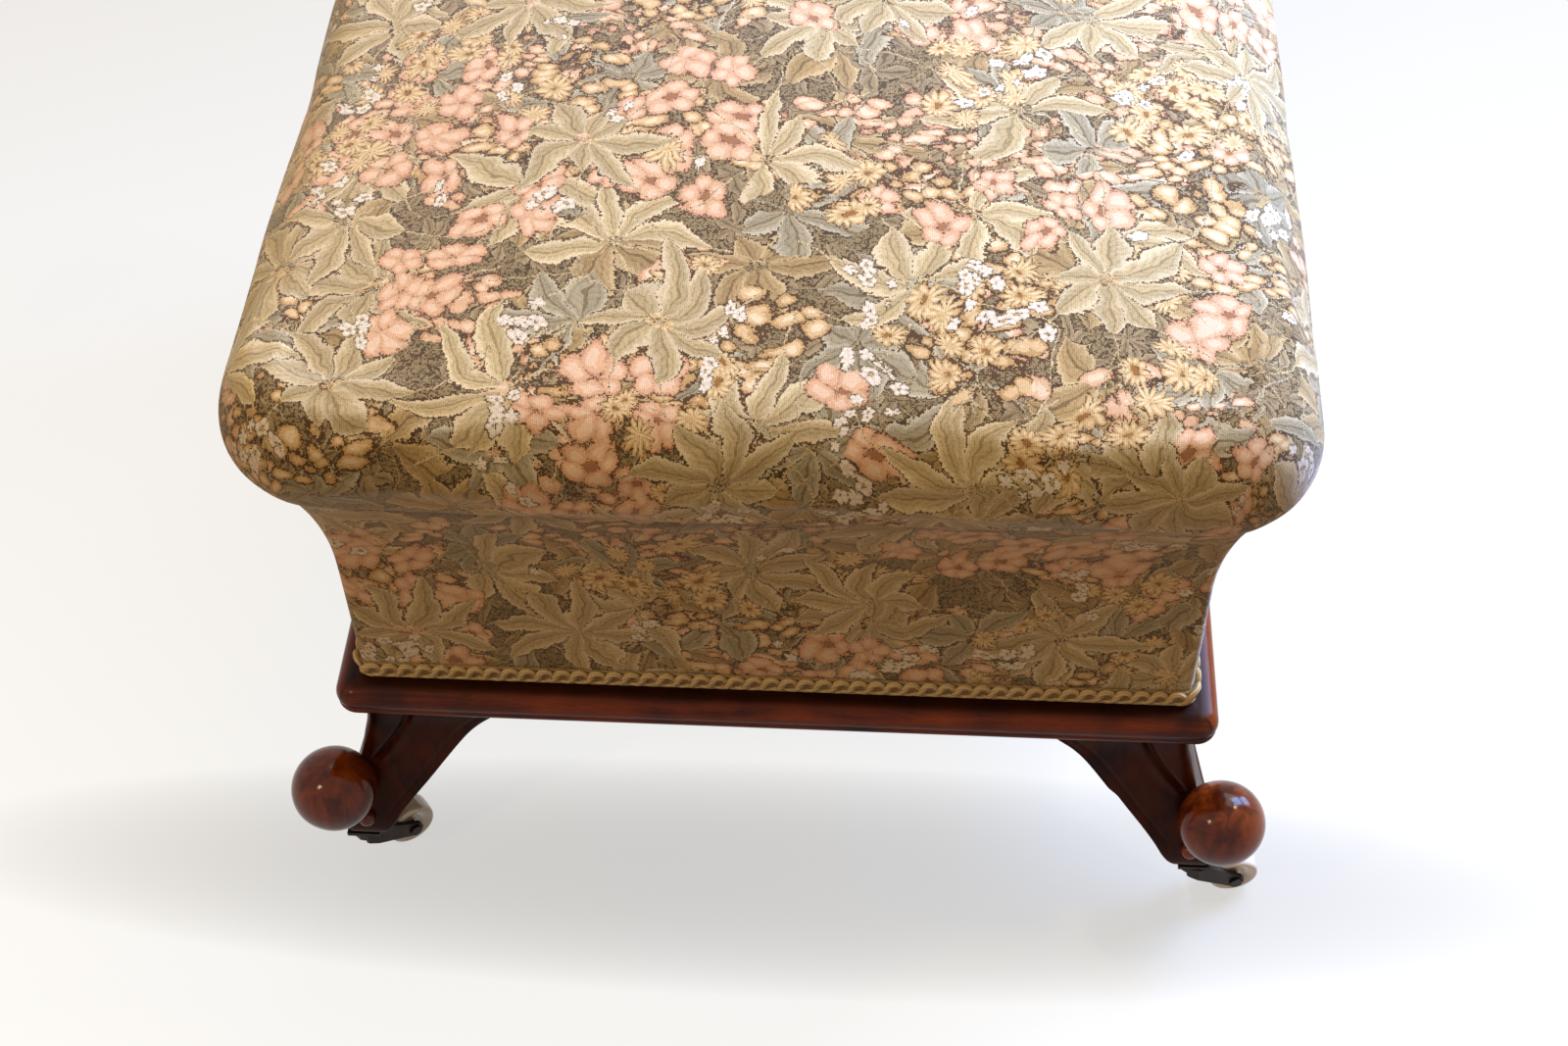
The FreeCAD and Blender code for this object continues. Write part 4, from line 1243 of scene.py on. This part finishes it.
@dataclass
class Castor:
    """A brass castor: plate, rivet, fork and axle as made, with a turned ceramic wheel."""

    finishes: Finishes
    corner: str
    pivot: tuple[float, float]
    turn: float
    trail: float = 22.0
    wheel_round: float = 13.3
    wheel_wide: float = 13.0
    bore: float = 2.06

    def build(self, nodes: dict[str, bpy.types.Object]) -> bpy.types.Object:
        """Dress the metal and turn the wheel.

        Args:
            nodes: The CAD nodes by name.

        Returns:
            The wheel.
        """
        for part in ("plate", "pivot", "fork", "axle"):
            dress(nodes[f"castor_{part}_{self.corner}"], self.finishes.plain["old_brass"], 0.4)
        r, w = self.wheel_round, self.wheel_wide / 2
        half = smooth_line([(self.bore + 0.1, w - 2.2), (4.6, w - 2.3), (6.4, w - 1.2),
                            (8.6, w - 0.35), (r - 2.2, w), (r - 0.7, w - 0.9), (r - 0.15, w - 3),
                            (r, 0.0)], 26)
        profile = np.vstack([half, half[-2::-1] * [1, -1], half[:1]])
        spin = np.linspace(0, TAU, 64, endpoint=False)
        lean = math.radians(self.turn)
        ahead = np.array([math.cos(lean), math.sin(lean), 0])
        across = np.array([-math.sin(lean), math.cos(lean), 0])
        centre = np.array([*self.pivot, 0]) + ahead * self.trail + [0, 0, self.wheel_round]
        points = (centre + profile[:, None, :1] * (np.cos(spin)[None, :, None] * ahead
                                                   + np.sin(spin)[None, :, None] * [0, 0, 1])
                  + profile[:, None, 1:] * across)
        wheel = grid_object(f"ceramic_wheel_{self.corner}", points,
                            self.finishes.plain["white_ceramic"])
        return settle(wheel, "white_ceramic", f"castor_wheel_{self.corner}",
                      body=f"wheel_{self.corner}")


@dataclass
class SeatDeck:
    """What is under the pad: two sets of webbing and the hessian."""

    finishes: Finishes
    reach: float = 202.0
    level: float = 286.0
    pitch: float = 86.0
    wide: float = 50.0
    straps: int = 4

    def cut(self, name: str, low: tuple[float, float], high: tuple[float, float], level: float,
            sag: float, slot: str) -> bpy.types.Object:
        """Cut one flat cloth and let it sag.

        Args:
            name: Name of the cloth.
            low: Its lowest x and y, in millimetres.
            high: Its highest x and y.
            level: Its height above the floor.
            sag: How far its middle hangs.
            slot: The record's material slot.

        Returns:
            The cloth.
        """
        x, y = np.meshgrid(np.linspace(low[0], high[0], 60), np.linspace(low[1], high[1], 60),
                           indexing="ij")
        bow = np.cos(x / self.reach * math.pi / 2) * np.cos(y / self.reach * math.pi / 2)
        points = spread(x, y, level - sag * np.clip(bow, 0, 1))
        points[..., 2] += waves(points, 60, level) * 0.12
        return grid_object(name, points, self.finishes.plain[slot], wrap=False)

    def build(self) -> None:
        """Stretch the webbing and the hessian."""
        far, half = self.reach, self.wide / 2
        middles = [self.pitch * (number - (self.straps - 1) / 2) for number in range(self.straps)]
        long = [self.cut("strap", (-far, at - half), (far, at + half), self.level + 0.7, 0.5,
                         "webbing") for at in middles]
        cross = [self.cut("strap", (at - half, -far), (at + half, far), self.level + 2.1, 0.5,
                          "webbing") for at in middles]
        sacking = self.cut("hessian_sheet", (-far, -far), (far, far), self.level + 3.3, 0.3,
                           "hessian")
        area = (2 * far * MM, self.straps * self.wide * MM)
        for made, slot, node, flat in (
                (joined("webbing_long", long), "webbing", "webbing_lengthwise", area),
                (joined("webbing_cross", cross), "webbing", "webbing_crosswise", area),
                (sacking, "hessian", "hessian", (2 * far * MM, 2 * far * MM))):
            settle(made, slot, node)


@dataclass
class DustCloth:
    """Black cotton under the plinth, cut round the legs."""

    finishes: Finishes
    reach: float = 204.5
    cut: float = 128.0
    level: float = 126.7
    sag: float = 0.6

    def build(self) -> bpy.types.Object:
        """Tack the cloth up.

        Returns:
            The cloth.
        """
        steps = np.unique(np.concatenate([np.linspace(-self.cut, self.cut, 65),
                                          np.linspace(self.cut, self.reach, 20),
                                          -np.linspace(self.cut, self.reach, 20)]))
        x, y = np.meshgrid(steps, steps, indexing="ij")
        points = spread(x, y, self.level)
        slack = ramp(196 - np.maximum(np.abs(x), np.abs(y)), 0, 120)
        points[..., 2] += waves(points, 55, 4.0) * 0.25 * slack - self.sag * slack
        made = grid_object("dust_cloth", points, self.finishes.plain["dust_cloth"], wrap=False)
        mesh = made.data
        gone = [p for p in mesh.polygons
                if min(abs(p.center.x), abs(p.center.y)) > self.cut * MM]
        work = bmesh.new()
        work.from_mesh(mesh)
        work.faces.ensure_lookup_table()
        bmesh.ops.delete(work, geom=[work.faces[p.index] for p in gone], context="FACES")
        work.to_mesh(mesh)
        work.free()
        settle(made, "dust_cloth", "bottom_cloth")
        return made


def dress(node: bpy.types.Object, finish: bpy.types.Material, ease: float = 0.0) -> None:
    """Give a CAD node its finish, with its edges eased.

    Args:
        node: The CAD node's object.
        finish: The material.
        ease: Width of the eased edges, in millimetres.
    """
    if ease:
        worn = node.modifiers.new("eased", "BEVEL")
        worn.width, worn.segments, worn.limit_method = ease * MM, 2, "ANGLE"
        worn.angle_limit = math.radians(35)
    for index in range(len(node.material_slots)):
        node.material_slots[index].material = finish
    if not node.material_slots:
        node.data.materials.append(finish)
    LOG.info("%s keeps its shape", node.name)


# The set

@dataclass(frozen=True)
class Lamp:
    """One soft square light: its place and aim in metres, its side, watts and sRGB colour."""

    name: str
    place: tuple[float, float, float]
    aim: tuple[float, float, float]
    size: float
    power: float
    colour: str

    def hang(self) -> None:
        """Hang the light and turn it to its aim."""
        lamp = bpy.data.lights.new(self.name, "AREA")
        lamp.size, lamp.energy, lamp.color = self.size, self.power, linear(self.colour)[:3]
        hung = bpy.data.objects.new(self.name, lamp)
        hung.location = self.place
        way = np.array(self.aim) - np.array(self.place)
        hung.rotation_euler = (math.acos(-way[2] / np.linalg.norm(way)), 0,
                               math.atan2(way[1], way[0]) - math.pi / 2)
        bpy.context.scene.collection.objects.link(hung)


@dataclass
class Studio:
    """A pale floor that runs into a pale backdrop, soft lights, and the camera at the
    photograph's angle."""

    spot: tuple[float, float, float] = (58.35, -850.93, 1053.80)
    yaw: float = -0.07840783087
    pitch: float = 0.87777298705
    roll: float = -0.02718257470
    lens: float = 52.38
    sensor: float = 36.0
    backdrop: str = "fbfaf7"
    # a painted pool of shadow under the front edge: its half width, half depth and middle, in
    # metres
    painted_shadow_pool: tuple[float, float, float] = (0.46, 0.072, -0.222)
    lamps: tuple[Lamp, ...] = (
        Lamp("sky_light", (0.35, 1.15, 1.95), (0, 0, 0.25), 1.6, 31, "fff0d6"),
        Lamp("window_light", (1.4, 0.78, 0.74), (0.1, 0, 0.3), 0.55, 19, "a6c6ff"),
        Lamp("high_window_light", (0.8, 0.4, 0.95), (0.1, 0.05, 0.35), 0.45, 18, "98bdff"),
        Lamp("lamp_light", (-0.87, -0.91, 1.25), (0, 0, 0.2), 0.1, 4.2, "ffdcae"),
        Lamp("ceiling_light", (1.1, 0.2, 1.85), (0.1, 0, 0.2), 0.2, 8, "ffe2ba"),
    )

    def build(self) -> None:
        """Put up floor, lights, world and camera."""
        self.floor()
        for lamp in self.lamps:
            lamp.hang()
        world = bpy.data.worlds.new("studio")
        world.use_nodes = True
        bpy.context.scene.world = world
        board = Board(world.node_tree)
        back = board.add("Background", (linear("ffe4c0"), 0.23))
        seen = board.add("Background", (linear(self.backdrop), 1.0))
        mixed = board.add("MixShader", (self.plain_sight(board), back, seen))
        board.add("OutputWorld", (mixed,))
        self.camera()
        bpy.context.scene.view_settings.view_transform = "Standard"

    def plain_sight(self, board: Board) -> Wire:
        """One for rays of the camera, of reflections and through glass, nought for the rest."""
        ray = board.add("LightPath", (), "Is Camera Ray")
        return ray.calc("MAXIMUM", ray.other("Is Glossy Ray")).calc(
            "MAXIMUM", ray.other("Is Transmission Ray"))

    def floor(self) -> None:
        """Lay the floor, pale to the eye, with the stool's shadow, a painted pool of shadow under
        the front edge, and a warm bounce."""
        made, board = material("pale_floor")
        y = board.add("SeparateXYZ", (board.add("TexCoord", (), "Object"),), "Y")
        x = y.other("X")
        wide, long = x / self.painted_shadow_pool[0], (y + -self.painted_shadow_pool[2]) / self.painted_shadow_pool[1]
        # the glow is dimmed inside the painted pool of shadow, so the floor shows darker there
        clear = (wide * wide + long * long).calc("POWER", 1.5) * 0.27 + 0.58
        tone = (y * 1.1 + 0.33).between(0.0, 1.0).over(linear("fffffe"), linear("e6e4e0"))
        matt = board.add("BsdfDiffuse", (tone.vector("MULTIPLY", (0.2, 0.2, 0.2)),))
        glow = board.add("Emission", (tone, clear.between(0.0, 0.86)))
        lit = board.add("AddShader", (matt, glow))
        warm = board.add("BsdfDiffuse", (linear("8c6a48"),))
        # past the reach of the lights the floor runs into the backdrop
        far = ((y * y + x * x).calc("SQRT") * 0.7 - 0.65).between(0.0, 1.0)
        wall = board.add("Emission", (linear(self.backdrop), 1.0))
        lit = board.add("MixShader", (far, lit, wall))
        shown = board.add("MixShader", (self.plain_sight(board), warm, lit))
        board.add("OutputMaterial", (shown,))
        side = np.linspace(-6000, 6000, 3)
        floor = grid_object("floor", spread(*np.meshgrid(side, side, indexing="ij"), -0.05), made,
                            wrap=False)

    def camera(self) -> None:
        """Stand the camera where the photograph was taken."""
        ahead = np.array([math.sin(self.yaw) * math.cos(self.pitch),
                          math.cos(self.yaw) * math.cos(self.pitch), -math.sin(self.pitch)])
        right = np.array([math.cos(self.yaw), -math.sin(self.yaw), 0])
        up = np.cross(right, ahead)
        x = math.cos(self.roll) * right + math.sin(self.roll) * up
        y = -math.sin(self.roll) * right + math.cos(self.roll) * up
        turn = Matrix([list(row) for row in np.column_stack([x, y, -ahead])]).to_4x4()
        lens = bpy.data.cameras.new("camera")
        lens.lens, lens.sensor_width = self.lens, self.sensor
        stand = bpy.data.objects.new("camera", lens)
        stand.matrix_world = Matrix.Translation([c * MM for c in self.spot]) @ turn
        bpy.context.scene.collection.objects.link(stand)
        bpy.context.scene.camera = stand


def main() -> None:
    """Build the stool and its set, piece by piece."""
    logging.basicConfig(level=logging.INFO, format="%(message)s")
    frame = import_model()
    nodes = frame["nodes"]
    finishes = Finishes()
    SeatPad(finishes.tapestry).build()
    FlankCloth(finishes.tapestry).build()
    GimpBraid(finishes.thread).build()
    Plinth(finishes.mahogany).build()
    # quarter turns of the leg, place of the rivet, and the way that the castor trails
    corners = {"back_right": (0, (217, 217), 20), "back_left": (1, (-217, 217), 30),
               "front_left": (2, (-217, -217), 38), "front_right": (3, (217, -217), 10)}
    for corner, (turn, pivot, swivel) in corners.items():
        ScrollLeg(finishes, corner, turn).build()
        Castor(finishes, corner, pivot, swivel).build(nodes)
    SeatDeck(finishes).build()
    DustCloth(finishes).build()
    for name, node in nodes.items():
        if name.startswith(("carcass_", "corner_block_")):
            dress(node, finishes.plain["frame_wood"])
        elif name.endswith(("_screws", "_tacks")):
            dress(node, finishes.plain["steel"])
    Studio().build()


if __name__ == "__main__":
    main()
